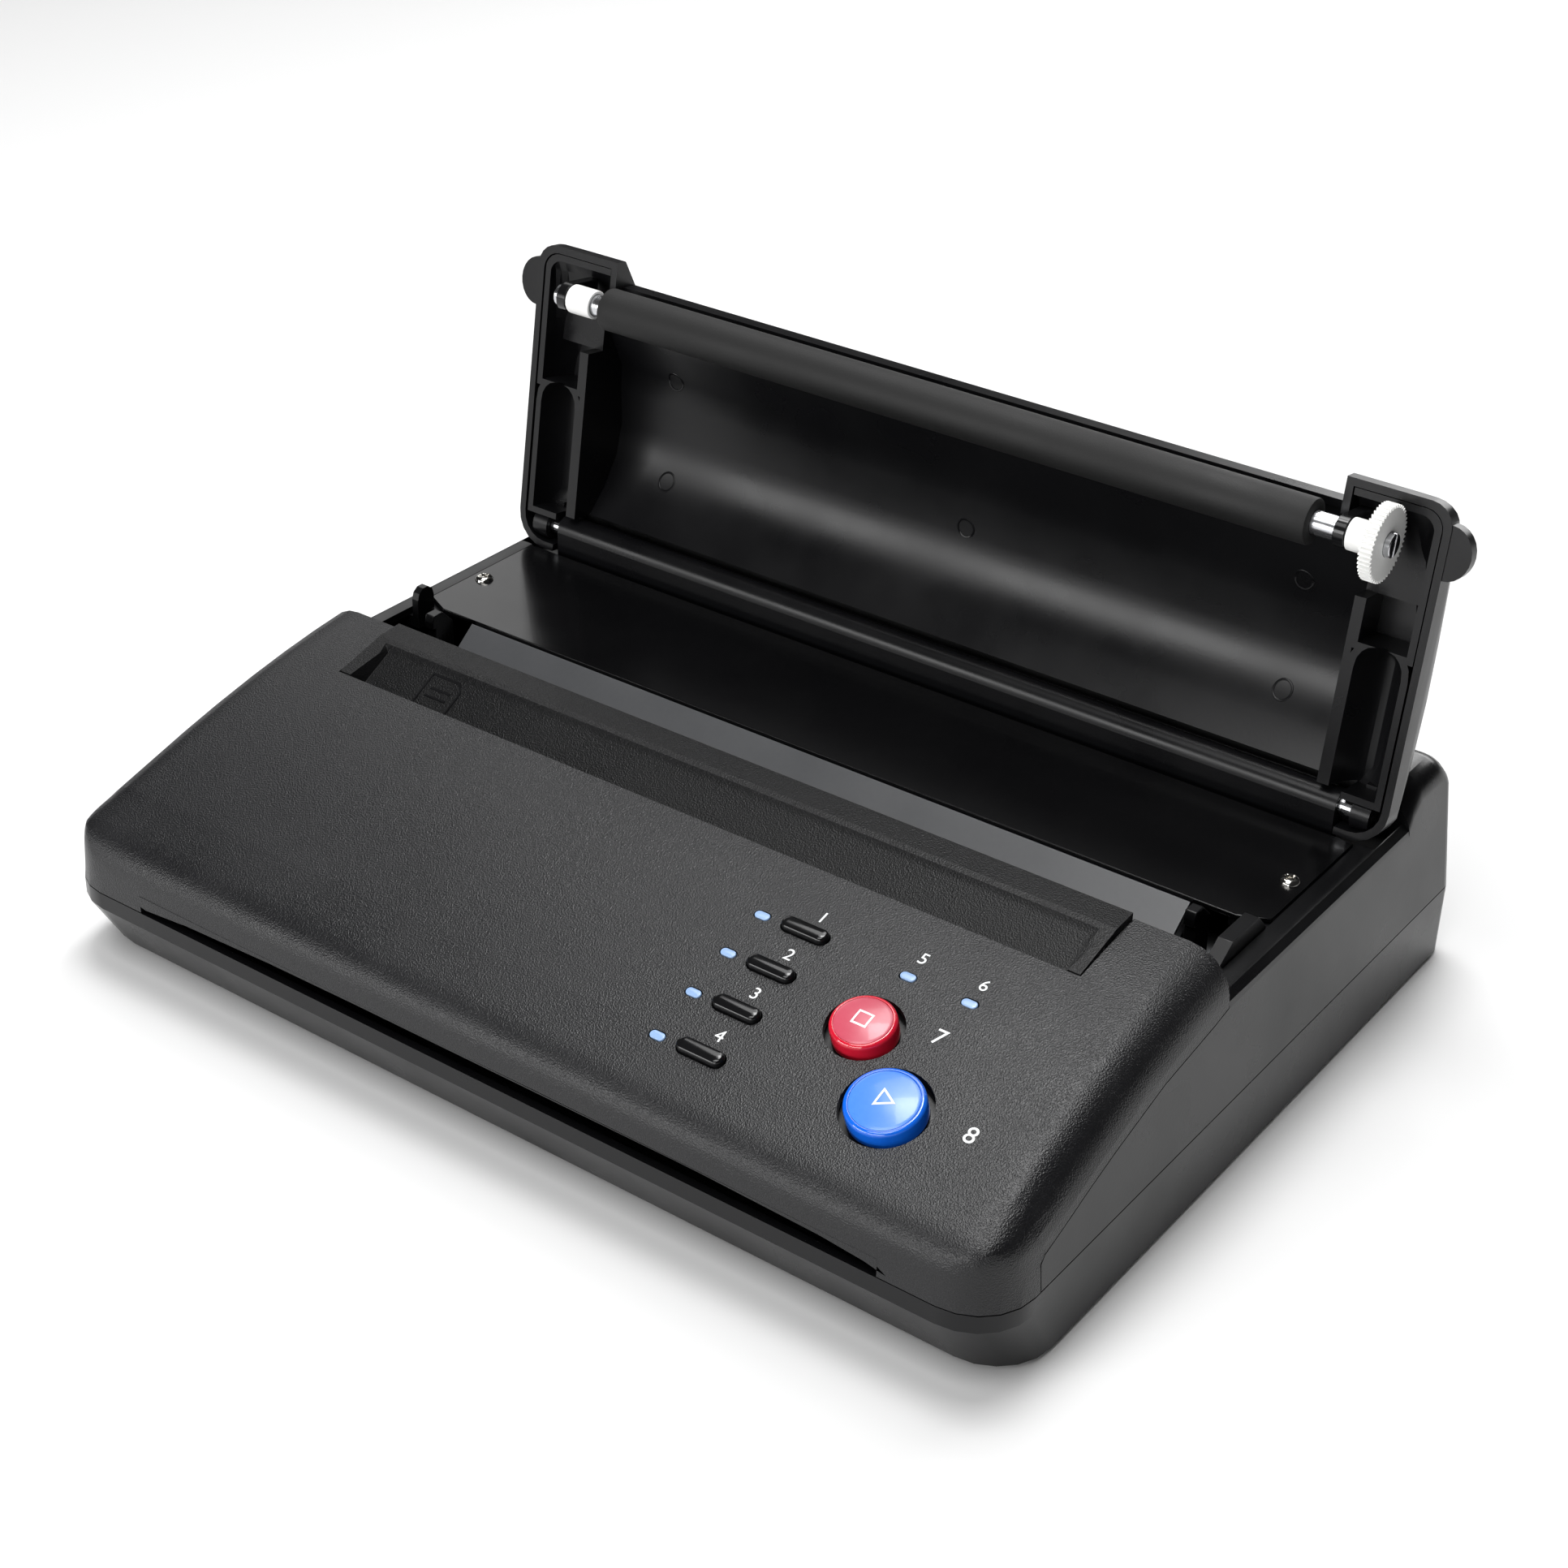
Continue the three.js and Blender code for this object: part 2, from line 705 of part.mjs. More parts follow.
function trayRing(height, frontInset, inset) {
  const side = caseHalfWidth - inset;
  return roundedPlan(side, frontInset + inset, caseDepth - inset,
    frontCornerRadius - inset, rearCornerRadius - inset).map(([x, y]) => [x, y, height]);
}

function trayHull(inset, top, bottom) {
  const slope = trayChamferDepth / (trayHeight - trayLip);
  return loft([
    trayRing(top, 0, inset),
    trayRing(-trayLip, 0, inset),
    trayRing(bottom, (-trayLip - bottom) * slope, inset),
  ]);
}

const trayFloor = wall - trayHeight;

function footPlaces() {
  const side = caseHalfWidth - footInset;
  const back = caseDepth - footInset;
  return [[-side, footInset], [side, footInset], [-side, back], [side, back]];
}

function baseTray() {
  const hull = cut(trayHull(0, 0, -trayHeight), trayHull(wall, overrun, trayFloor));
  const socketSpan = [-trayHeight - overrun, footSocketDepth - trayHeight];
  const sockets = footPlaces().map((place) =>
    prism("z", circle(place, footRadius + runningGap), socketSpan));
  return cut(joined(hull, ...scanCheeks(), ...cradleRibs(), ...boardPosts()), ...sockets);
}

// Cheeks of the tray that hold the document roller's shaft
function scanCheeks() {
  const outline = [
    [scanDepth - scanCheekHalfWidth, trayFloor - wall / 2],
    [scanDepth + scanCheekHalfWidth, trayFloor - wall / 2],
    ...arc([scanDepth, scanRollerHeight], [scanCheekHalfWidth, scanCheekHalfWidth], 0, 180),
  ];
  return [-1, 1].map((side) => {
    const span = spanOf(side, scanCheek, scanCheekThickness);
    const hole = rod(scanShaftRadius + runningGap, grown(span, overrun), [scanDepth, scanRollerHeight], 16);
    return cut(prism("x", outline, span), hole);
  });
}

function spanOf(side, inner, thickness) {
  return side > 0 ? [inner, inner + thickness] : [-inner - thickness, -inner];
}

function grown([low, high], margin) {
  return [low - margin, high + margin];
}

// Ribs of the tray under the thermal head, bored for the latch shaft
function cradleRibs() {
  const under = headBoardThickness + sinkThickness + 2 * runningGap;
  const [touchDepth, touchHeight] = headTouch();
  const slope = Math.tan(radians(headSlopeDegrees));
  const drop = under / Math.cos(radians(headSlopeDegrees));
  const topAt = (depth) => touchHeight + (depth - touchDepth) * slope - drop;
  const outline = [
    [cradleFront, trayFloor - wall / 2],
    [cradleRear, trayFloor - wall / 2],
    [cradleRear, topAt(latchDepth + latchShaftRadius)],
    [latchDepth + latchShaftRadius, topAt(latchDepth + latchShaftRadius)],
    [cradleFront, topAt(cradleFront)],
  ];
  return [-1, 1].map((side) => {
    const span = spanOf(side, cradleOffset, cradleThickness);
    const slot = [latchShaftRadius + runningGap, latchPivotHeight];
    const bore = rod(slot[0], grown(span, overrun), [latchDepth, latchPivotHeight], 16);
    const mouth = box(grown(span, overrun), [latchDepth - slot[0], latchDepth + slot[0]],
      [latchPivotHeight, latchPivotHeight + trayHeight]);
    return cut(prism("x", outline, span), bore, mouth);
  });
}

function boardPosts() {
  return mainBoardSpan.flatMap((x) => mainBoardDepths.map((y) => {
    const place = [x === mainBoardSpan[0] ? x + boardPostInset : x - boardPostInset,
      y === mainBoardDepths[0] ? y + boardPostInset : y - boardPostInset];
    return prism("z", circle(place, boardPost, 10), [trayFloor - wall / 2, trayFloor + boardPost]);
  }));
}

function frontCover() {
  const shell = cut(coverShell(coverDepth), skirtRegion(seamGap / 2));
  const slot = box([-slotHalfWidth, slotHalfWidth], [-overrun, wall + overrun], [-overrun, slotHeight]);
  const mouth = box([-troughHalfWidth - seamGap, troughHalfWidth + seamGap],
    [troughFront, coverDepth + overrun], [skirtRearHeight, ridgeHeight + overrun]);
  return joined(cut(shell, slot, mouth, ...controlHoles()), ...keyBoardPosts());
}

// Posts under the cover that the key board screws to
function keyBoardPosts() {
  const margin = 2 * boardPost / 3;
  const post = prism("z", circle([0, 0], boardPost / 2, 8), [seamGap * 2 - keyBoardDrop, -wall / 2]);
  return [keyBoardLeft + margin, keyBoardRight - margin].flatMap((x) =>
    [keyBoardFront + margin, keyBoardRear - margin].map((depth) => placed(post, [x, depth])));
}

// Trough floor, end cheeks and ridge behind the panel
function documentRamp() {
  const slope = (troughFloorRearHeight - troughFloorFrontHeight) / (troughFloorRear - troughFloorFront);
  const floorAt = (depth) => troughFloorFrontHeight + (depth - troughFloorFront) * slope;
  const tail = [troughFront - rampReach, floorAt(troughFront) - rampDrop];
  const underLip = [troughFront, floorAt(troughFront)];
  const block = prism("x", [
    underLip,
    tail,
    [tail[0], tail[1] - rampWall],
    [underLip[0], underLip[1] - rampWall],
    [coverDepth - rampWall, ridgeHeight - ridgeFlangeDepth],
    [coverDepth, ridgeHeight - ridgeFlangeDepth],
    [coverDepth, ridgeHeight],
    [ridgeFront, ridgeHeight - ridgeStep],
    [troughFront, ridgeHeight - ridgeStep - (ridgeFront - troughFront) * slope / 2],
  ], [-troughHalfWidth, troughHalfWidth]);
  const flangeFoot = ridgeHeight - ridgeFlangeDepth;
  const hollow = prism("x", [
    [underLip[0] - overrun, underLip[1] - rampWall - overrun * slope],
    [troughFloorRear, troughFloorRearHeight - rampWall],
    [ridgeFront, ridgeHeight - ridgeStep - rampWall],
    [coverDepth - rampWall, ridgeHeight - rampWall - ridgeStep],
    [coverDepth - rampWall, flangeFoot - overrun],
    [underLip[0] - overrun, flangeFoot - wall],
  ], [-troughHalfWidth - overrun, troughHalfWidth + overrun]);
  return cut(block, hollow, troughVoid(floorAt), capRoom());
}

// The open space of the trough, its ends sloping outward
function troughVoid(floorAt) {
  const climb = ridgeHeight + overrun;
  const inner = troughHalfWidth - troughEndRun;
  const ring = (half, front, rear, rise) => [[-half, front], [half, front], [half, rear], [-half, rear]]
    .map(([x, y]) => [x, y, rise === undefined ? floorAt(y) : rise]);
  const low = ring(inner, troughFront - overrun, troughFloorRear);
  const high = ring(troughHalfWidth - ridgeStep, troughFront - overrun, ridgeFront, climb);
  return loft([low, high]);
}

// Room for the cover's rear edge of the panel, in front of the trough
function capRoom() {
  const { height } = coverSurface(troughFront);
  return box([-troughHalfWidth - overrun, troughHalfWidth + overrun],
    [troughFront - rampReach - overrun, troughFront + seamGap], [height - 2 * wall, coverHeight + wall]);
}

// Rear casing: side walls, ledges, lid well, hump and rear wall
function rearCasing() {
  const skirts = coverShell(coverDepth + seamGap).intersect(skirtRegion(-seamGap / 2));
  const shell = joined(skirts, sideRun(1), sideRun(-1), ledgeLip(1), ledgeLip(-1), hump(), lidWell(),
    hingePost());
  return cut(shell, ...screwHoles(), inletHole(), switchHole());
}

function sideRun(side) {
  const shoulder = sideAt(sideTop) - ledgeInner;
  const rise = ledgeHeight - sideTop;
  const rounding = ledgeShoulderShares
    .map(([a, b]) => [sideAt(sideTop) - a * shoulder, sideTop + b * rise]);
  const outline = [
    [sideAt(seamGap), seamGap],
    [sideAt(sideTop), sideTop],
    ...rounding,
    [(ledgeInner + sideAt(sideTop)) / 2, ledgeHeight],
    [ledgeInner, ledgeHeight],
    [ledgeInner, ledgeHeight - wall],
    [sideAt(sideTop) - wall, sideTop - wall / 2],
    [sideAt(seamGap) - wall, seamGap],
  ].map(([x, z]) => [side * x, z]);
  const run = prism("y", outline, [coverDepth + seamGap, humpFront + wall]);
  const well = box([-ledgeInner - wall * 2, ledgeInner + wall * 2],
    [wellFront, humpFront + wall + overrun], [wellFloor, humpHeight]);
  return cut(run, well);
}

// Strip of the ledge that carries the feed plate's edge and its screw
function ledgeLip(side) {
  const top = plateTop - plateThickness - runningGap;
  const strip = box(spanOf(side, ledgeLipInner, ledgeInner + wall - ledgeLipInner),
    [pocketRear, wellFront], [top - wall, top]);
  const boss = prism("z", circle([side * screwOffset, screwDepth], screwBossRadius, 16),
    [top - screwLength - wall, top - wall / 2]);
  return joined(strip, boss);
}

function screwHoles() {
  const top = plateTop - plateThickness;
  return [-1, 1].map((side) => prism("z",
    circle([side * screwOffset, screwDepth], screwRadius + runningGap, 16),
    [top - screwLength - overrun / 2, top + overrun]));
}

function humpProfile(inset) {
  const radius = humpFillet - inset;
  const lean = [[humpFront + inset, wellFloor], [humpFront + inset, humpLeanStart],
    [humpFront + humpLean / 3 + inset, (humpLeanStart + humpHeight) / 2 - inset / 2],
    [humpFront + humpLean + inset, humpHeight - inset]];
  return [...lean, ...arc([humpTopRear, humpHeight - humpFillet], [radius, radius], 90, 10, 4)];
}

function humpBody(inset, bottom) {
  const rings = humpProfile(inset).slice(1)
    .map(([y, z]) => bodySection(y, z, bottom, humpFillet, inset));
  const [firstDepth] = humpProfile(inset)[0];
  rings.unshift(bodySection(firstDepth, humpProfile(inset)[1][1], bottom, humpFillet, inset));
  const secondHeight = humpProfile(inset)[1][1];
  rings[1] = bodySection(firstDepth + humpRingGap, secondHeight, bottom, humpFillet, inset);
  const [lastDepth, lastHeight] = humpProfile(inset).at(-1);
  const beyond = lastDepth + wall + 2 * rearCornerRadius;
  rings.push(bodySection(beyond, lastHeight - wall, bottom, humpFillet, inset));
  return loft(rings).intersect(planBody(inset, bottom, humpHeight + wall));
}

function hump() {
  return cut(humpBody(0, seamGap), humpBody(wall, seamGap - overrun), humpOpenFront());
}

// The hump's shell has no front wall below the well's floor
function humpOpenFront() {
  return box([wall - sideAt(0), sideAt(0) - wall * 2], [humpFront - overrun, humpFront + wall + overrun],
    [-overrun, wellFloor - wall]);
}

function lidWell() {
  const floor = box([-ledgeInner - wellTuck, ledgeInner + wellTuck],
    [wellFront - wall, humpFront + wall], [wellFloor - wall, wellFloor]);
  const step = box([-ledgeInner - wall, ledgeInner + wall], [wellFront - wall, wellFront],
    [wellFloor - wall, plateTop - plateThickness - runningGap]);
  return joined(floor, step);
}

// Round-topped post beside the left end of the platen bay, on an arm from the side wall
function hingePost() {
  const foot = ledgeHeight - wall * 2;
  const outline = [
    [postDepth - postRadius, foot],
    [postDepth + postRadius, foot],
    ...arc([postDepth, postHeight - postRadius], [postRadius, postRadius], 0, 180),
  ];
  const post = prism("x", outline, [-postOffset - wall / 2, -postOffset + wall / 2]);
  const arm = box([-ledgeInner - wall, -postOffset + wall / 2],
    [postDepth - postRadius, postDepth + postRadius + wall], [foot - wall / 2, ledgeHeight - wall]);
  return joined(post, arm);
}

function feedPlate() {
  const front = pocketRear - runningGap;
  const half = ledgeInner - 2 * runningGap;
  const outline = bothSides([[half, plateRear], [half, front + plateCornerCut / 2],
    [half - plateCornerCut, front]]);
  const sheet = prism("z", outline, [plateTop - plateThickness, plateTop]);
  const holes = [-1, 1].map((side) => prism("z",
    circle([side * screwOffset, screwDepth], screwRadius + runningGap, 16),
    [plateTop - plateThickness - overrun, plateTop + overrun]));
  return cut(sheet, ...holes);
}

function plateScrew(side) {
  const top = plateTop + runningGap + screwHeadHeight;
  const profile = [
    [0, -screwLength], [screwRadius, -screwLength], [screwRadius, 0],
    [screwHeadRadius, 0], [screwHeadRadius, screwHeadHeight / 2],
    [screwHeadRadius * screwCrownShare, screwHeadHeight], [0, screwHeadHeight],
  ].map(([r, z]) => new THREE.Vector2(r, z));
  const turned = new THREE.LatheGeometry(profile, 20);
  turned.rotateX(Math.PI / 2);
  turned.translate(side * screwOffset, screwDepth, top - screwHeadHeight);
  const arm = screwHeadRadius * screwArmShare;
  const slotHalf = screwRecess / 2;
  const recess = (along, across) => box(about(side * screwOffset, 2 * along),
    about(screwDepth, 2 * across), [top - screwRecess, top + overrun]);
  return cut(solidOf(turned), recess(arm, slotHalf), recess(slotHalf, arm));
}

// Fixed barrel that the lid's pins turn in
function hingeRail() {
  const web = [
    [hingeDepth - railRadius, wellFloor + runningGap],
    [hingeDepth - railRadius + railWebThickness, wellFloor + runningGap],
    [hingeDepth - railRadius + railWebThickness, hingeHeight],
    [hingeDepth - railRadius, hingeHeight],
  ];
  const span = [-railHalfLength, railHalfLength];
  const barrel = joined(prism("x", web, span), rod(railRadius, span, [hingeDepth, hingeHeight]));
  const bores = [-1, 1].map((side) => rod(pinRadius + runningGap,
    spanOf(side, railHalfLength - pinSeat - runningGap, pinSeat + overrun), [hingeDepth, hingeHeight], 20));
  return cut(barrel, ...bores);
}

function foot([x, y]) {
  return prism("z", circle([x, y], footRadius),
    [-trayHeight - footLift, footSocketDepth - trayHeight - runningGap]);
}

function inletHole() {
  return prism("y", roundedPlan(inletWidth / 2 + runningGap, -inletHeight / 2 - runningGap,
    inletHeight / 2 + runningGap, inletCorner / 2, inletCorner / 2)
    .map((p) => sum(p, [inletCentre, socketCentreHeight])),
  [inletFace - inletDepth, caseDepth + overrun]);
}

function switchHole() {
  return box(about(switchCentre, switchWidth, runningGap), [inletFace - switchDepth, caseDepth + overrun],
    about(socketCentreHeight, switchHeight, runningGap));
}

// Lid pieces are drawn closed; the lid's group swings them open about the hinge
function lidSection(depth, crown, inset) {
  const side = lidRim + Math.min(lidSideHeight, (crown - lidRim) * lidSideShare);
  const radii = [lidFillet - inset, Math.max(crown - side, inset / 4)];
  const half = [
    [lidHalfWidth - inset, lidRim - (inset ? lidUnderRun : 0)],
    ...arc([lidHalfWidth - lidFillet, crown - radii[1] - inset], radii, 0, 90, 6),
  ];
  return bothSides(half).map(([x, z]) => [x, depth, z]);
}

function lidBody(inset) {
  const run = lidRear - lidFront;
  const rise = lidCrown - lidFrontHeight;
  const crownLine = [[0, 0], lidNose, ...lidCrownShares.map(([a, b]) => [a * run, b * rise]),
    ...lidTail.map(([back, up]) => [run - back, up])];
  const rings = crownLine.map(([along, up]) => lidSection(lidFront + along, lidFrontHeight + up, inset));
  const plan = roundedPlan(lidHalfWidth - inset, lidFront + inset, lidRear - inset,
    lidFrontCorner - inset / 2, lidRearCorner - inset);
  return loft(rings).intersect(prism("z", plan, [lidRim - lidUnderRun - overrun, lidCrown + overrun]));
}

function lidNotch(margin) {
  return box([-lidNotchHalfWidth - margin, lidNotchHalfWidth + margin],
    [lidFront - overrun, lidFront + lidNotchDepth + margin], [lidRim - 2 * lidUnderRun, lidCrown + overrun]);
}

function lidOuterShell() {
  const outer = cut(lidBody(0), lidNotch(0));
  const inner = cut(lidBody(lidWall), lidNotch(lidWall));
  const frontEdge = box([-lidNotchHalfWidth, lidNotchHalfWidth],
    [lidFront, lidFront + lidNotchDepth + lidWall + overrun], [lidRim - 2 * overrun, lidNotchEdge]);
  const rearEdge = box([-lidRearNotchHalfWidth, lidRearNotchHalfWidth],
    [lidRear - lidWall - overrun, lidRear + overrun], [lidRim - 2 * overrun, lidRearNotchEdge]);
  return joined(cut(outer, inner, frontEdge, rearEdge), fingerTab(1), fingerTab(-1));
}

// Half-round tab that a finger lifts the lid by
function fingerTab(side) {
  const root = lidHalfWidth - lidWall / 2;
  const outline = [
    [root, tabCentre + tabHalfWidth],
    [root, tabCentre - tabHalfWidth],
    ...arc([lidHalfWidth, tabCentre], [tabReach, tabHalfWidth], -90, 90, 12),
  ].map(([x, y]) => [side * x, y]);
  return prism("z", outline, [lidRim + seamGap, lidRim + seamGap + tabHeight]);
}

function panelArc(margin) {
  const run = panelRearEdge - panelFrontEdge;
  const rise = panelPeak - panelFrontHeight;
  return panelShares.map(([a, b]) => [panelFrontEdge + a * run, panelFrontHeight + b * rise + margin]);
}

const barrelTop = hingeHeight + railRadius + barrelClearance;

// The hollows of the lid's inner moulding, each grown by a margin to make its walls
function lidHollows(margin) {
  const low = lidRim - lidUnderRun / 2;
  const skirt = skirtOuter - skirtWall + margin;
  const panel = prism("x", [
    [panelFrontEdge - overrun - margin, low],
    [panelFrontEdge - overrun - margin, panelFrontHeight + margin / 2],
    ...panelArc(margin),
    [panelRearEdge, barrelTop],
    [lidRear - lidWall, barrelTop],
    [lidRear - lidWall, low],
  ], [-panelHalfWidth - margin, panelHalfWidth + margin]);
  const pockets = [-1, 1].flatMap((side) => [
    box(spanOf(side, earInner - margin, skirt - earInner + margin),
      [lidFront + lidWall + runningGap + frameWall - margin, earRear + margin], [low, earCeiling + margin]),
    box(spanOf(side, pocketInner - margin, skirt - pocketInner + margin),
      [earRear - margin, shelfRear + margin], [low, shelfCeiling + margin]),
    endGroove(side, margin),
  ]);
  const limit = lidBody(lidWall + runningGap + frameWall - margin);
  return joined(panel, joined(...pockets).intersect(limit));
}

// Half-round groove along the lid's end, with a rounded front
function endGroove(side, margin) {
  const low = lidRim - lidUnderRun / 2;
  const outer = skirtOuter - skirtWall + margin;
  const half = (outer - pocketInner + margin) / 2;
  const height = lidRim + pocketDepth + margin - low;
  const rings = grooveShares.map(([run, size]) =>
    arc([side * (outer - half), low], [half * size, height * size], 0, 180, grooveSteps)
      .map(([x, z]) => [x, shelfRear - margin + run * half, z]));
  rings.push(rings.at(-1).map(([x, , z]) => [x, endPocketRear + margin, z]));
  return loft(rings);
}

function lidInnerFrame() {
  const fill = cut(lidBody(lidWall + runningGap), lidNotch(lidWall + runningGap));
  const walls = lidHollows(frameWall).intersect(fill);
  const rimCut = box([-caseHalfWidth, caseHalfWidth], [0, caseDepth], [0, lidRim + seamGap]);
  const frontCut = box([-lidNotchHalfWidth, lidNotchHalfWidth],
    [lidFront, panelFrontEdge + lidWall + overrun * 3], [0, panelFrontHeight]);
  const rearCut = box([-lidRearNotchHalfWidth, lidRearNotchHalfWidth],
    [panelRearEdge, lidRear + overrun], [0, barrelTop]);
  const shell = cut(walls, lidHollows(0), rimCut, frontCut, rearCut);
  return cut(joined(shell, hingeLug(1), hingeLug(-1)), ...[-1, 1].map(pinBore));
}

function hingeLug(side) {
  const span = spanOf(side, lugInner, lugThickness);
  const barrel = rod(lugRadius, span, [hingeDepth, hingeHeight], 20);
  const web = box(span, [hingeDepth - lugRadius, hingeDepth + lugRadius], [hingeHeight, lidCrown]);
  const bridge = box(span, [endPocketRear - overrun, hingeDepth], [barrelTop - wall, lidCrown]);
  return joined(barrel, web, bridge).intersect(lidBody(lidWall + runningGap));
}

function pinBore(side) {
  return rod(pinRadius + runningGap, grown(spanOf(side, lugInner, lugThickness), overrun),
    [hingeDepth, hingeHeight], 20);
}

function hingePin(side) {
  return rod(pinRadius, spanOf(side, railHalfLength - pinSeat, pinLength), [hingeDepth, hingeHeight], 20);
}

function bearingPlate(span) {
  const outline = [
    [platenDepth + bearingHalfWidth, bearingTop],
    [platenDepth - bearingHalfWidth, bearingTop],
    ...arc([platenDepth, platenHeight], [bearingHalfWidth, bearingHalfWidth], 180, 360, 8),
  ];
  return cut(prism("x", outline, span),
    rod(shaftRadius + shaftClearance, grown(span, overrun), [platenDepth, platenHeight]));
}

function sleeve(outer, inner, span, centre, sides = roundSides) {
  return cut(rod(outer, span, centre, sides), rod(inner, grown(span, overrun), centre, sides));
}

// A spur gear's outline; the first tooth points along the phase angle
function gearOutline([y, z], teeth, phaseDegrees) {
  const pitch = (gearModule * teeth) / 2;
  const root = pitch - gearRootShare * gearModule;
  const tip = pitch + gearTipShare * gearModule;
  return Array.from({ length: teeth }, (_, i) => i).flatMap((i) => {
    const middle = phaseDegrees + i * stepOf(teeth);
    const corner = (radius, share) => sum([y, z], polar(radius, middle + share * stepOf(teeth)));
    return [corner(root, -toothRootShare), corner(tip, -toothTipShare),
      corner(tip, toothTipShare), corner(root, toothRootShare)];
  });
}

function spurGear(centre, teeth, phase, span, bore) {
  const wheel = prism("x", gearOutline(centre, teeth, phase), span);
  return cut(wheel, rod(bore, grown(span, overrun), centre, 16));
}

const pitchRadius = (teeth) => (gearModule * teeth) / 2;
const stepOf = (teeth) => 360 / teeth;

// Centre and phase of a gear that meshes with another at a given direction
function meshed(centre, teeth, phase, nextTeeth, directionDegrees) {
  const distance = pitchRadius(teeth) + pitchRadius(nextTeeth) + meshClearance;
  const next = sum(centre, polar(distance, directionDegrees));
  const turned = (directionDegrees - phase) / stepOf(teeth);
  const share = turned - Math.round(turned);
  const nextPhase = directionDegrees + 180 + (share + 1 / 2) * stepOf(nextTeeth);
  return [next, nextPhase];
}

const platenCentre = [platenDepth, platenHeight];
const [driveCentre, drivePhase] =
  meshed(platenCentre, platenTeeth, 0, driveTeeth, driveAngleDegrees);
const [idlerCentre, idlerPhase] =
  meshed(driveCentre, driveTeeth, drivePhase, idlerTeeth, idlerAngleDegrees);
const [pinionCentre, pinionPhase] =
  meshed(idlerCentre, idlerTeeth, idlerPhase, pinionTeeth, pinionAngleDegrees);
const scanCentre = [scanDepth, scanRollerHeight];
const [scanPinionCentre, scanPinionPhase] =
  meshed(scanCentre, scanGearTeeth, 0, pinionTeeth, scanMotorAngleDegrees);
const gearSpan = [gearInner, gearInner + gearWidth];
const scanGearSpan = [-scanGearInner - scanGearWidth, -scanGearInner];
const latchCentre = [latchDepth, latchPivotHeight];

function platenPieces() {
  const bore = shaftRadius + shaftClearance;
  const shaft = rod(shaftRadius, [-shaftLeftEnd, shaftRightEnd], platenCentre);
  const slot = box(about(shaftRightEnd, 2 * overrun), about(platenDepth, 2 * shaftRadius),
    about(platenHeight, screwRecess));
  const hub = sleeve(bushRadius, bore, [hubInner, gearInner + overrun], platenCentre);
  const cover = sleeve(rubberRadius, bore, about(0, 2 * rubberHalfLength), platenCentre, 28);
  const bush = sleeve(bushRadius, bore, [runningGap - bearingPlateLeft, -bushInner], platenCentre);
  const wheel = spurGear(platenCentre, platenTeeth, 0, gearSpan, bore);
  return [
    piece("platen_shaft", cut(shaft, slot), ...finish.steel),
    piece("platen_roller", cover, ...finish.rubber),
    piece("platen_bush", bush, ...finish.white),
    piece("platen_gear", joined(wheel, hub), ...finish.white),
  ];
}

// Frame of the gear train: a plate inside the gears and a wall outside, joined by a floor
function gearBracket() {
  const plateSpan = [bracketPlate, bracketPlate + bracketPlateThickness];
  const foot = trayFloor + runningGap;
  const plate = prism("x", [
    [bracketFront + 2 * wall, foot], [bracketRear, foot],
    [bracketRear, bracketPlateTop - wall], [driveCentre[0] + wall * 2, bracketPlateTop],
    [driveCentre[0] - wall * 2, bracketPlateTop], [bracketFront + 2 * wall, wall],
  ], plateSpan);
  const wallSpan = [bracketWallInner, bracketWallInner + bracketWallThickness];
  const side = prism("x", [
    [bracketFront, foot], [bracketRear, foot], [bracketRear, bracketPlateTop],
    [pocketRear - runningGap, ledgeHeight - 2 * wall], [pocketRear - runningGap, bracketTop - 2 * wall],
    [pocketRear - 2 * wall, bracketTop], [bracketFront + 3 * wall, bracketTop],
    [bracketFront, bracketTop - 2 * wall],
  ], wallSpan);
  const floor = box([plateSpan[0], wallSpan[1]], [bracketFront + 2 * wall, bracketRear],
    [foot, foot + wall]);
  const bores = [driveCentre, idlerCentre].map((centre) =>
    rod(gearPinRadius, [plateSpan[0] - overrun, bracketWallInner + wall], centre, 16));
  const bossHole = rod(motorBossRadius + runningGap, grown(plateSpan, overrun), pinionCentre, 20);
  const shaftHole = rod(latchShaftRadius + runningGap, grown(plateSpan, overrun), latchCentre, 16);
  return cut(joined(plate, side, floor), ...bores, bossHole, shaftHole);
}

function trainGear(centre, teeth, phase) {
  const wheel = prism("x", gearOutline(centre, teeth, phase), gearSpan);
  const reach = [bracketPlate + runningGap, bracketWallInner + wall - runningGap];
  return joined(wheel, rod(gearPinRadius - shaftClearance, reach, centre, 16));
}

// A can motor along x: body, locating boss and shaft end as one turned piece
function motor(centre, radius, bodySpan, bossSpan, bossRadius) {
  const body = rod(radius, bodySpan, centre);
  return joined(body, rod(bossRadius, bossSpan, centre, 20));
}

function driveMotor() {
  const face = bracketPlate - runningGap;
  return motor(pinionCentre, motorRadius, [face - motorLength, face],
    [face - overrun, bracketPlate + bracketPlateThickness], motorBossRadius);
}

function motorPinion() {
  const wheel = prism("x", gearOutline(pinionCentre, pinionTeeth, pinionPhase), gearSpan);
  return joined(wheel, rod(gearPinRadius, grown(gearSpan, runningGap), pinionCentre, 12));
}

// Point of the head's board under the roller, and the directions along it
function headTouch() {
  const reach = rubberRadius + runningGap;
  const slope = radians(headSlopeDegrees);
  return sum(platenCentre, [reach * Math.sin(slope), -reach * Math.cos(slope)]);
}

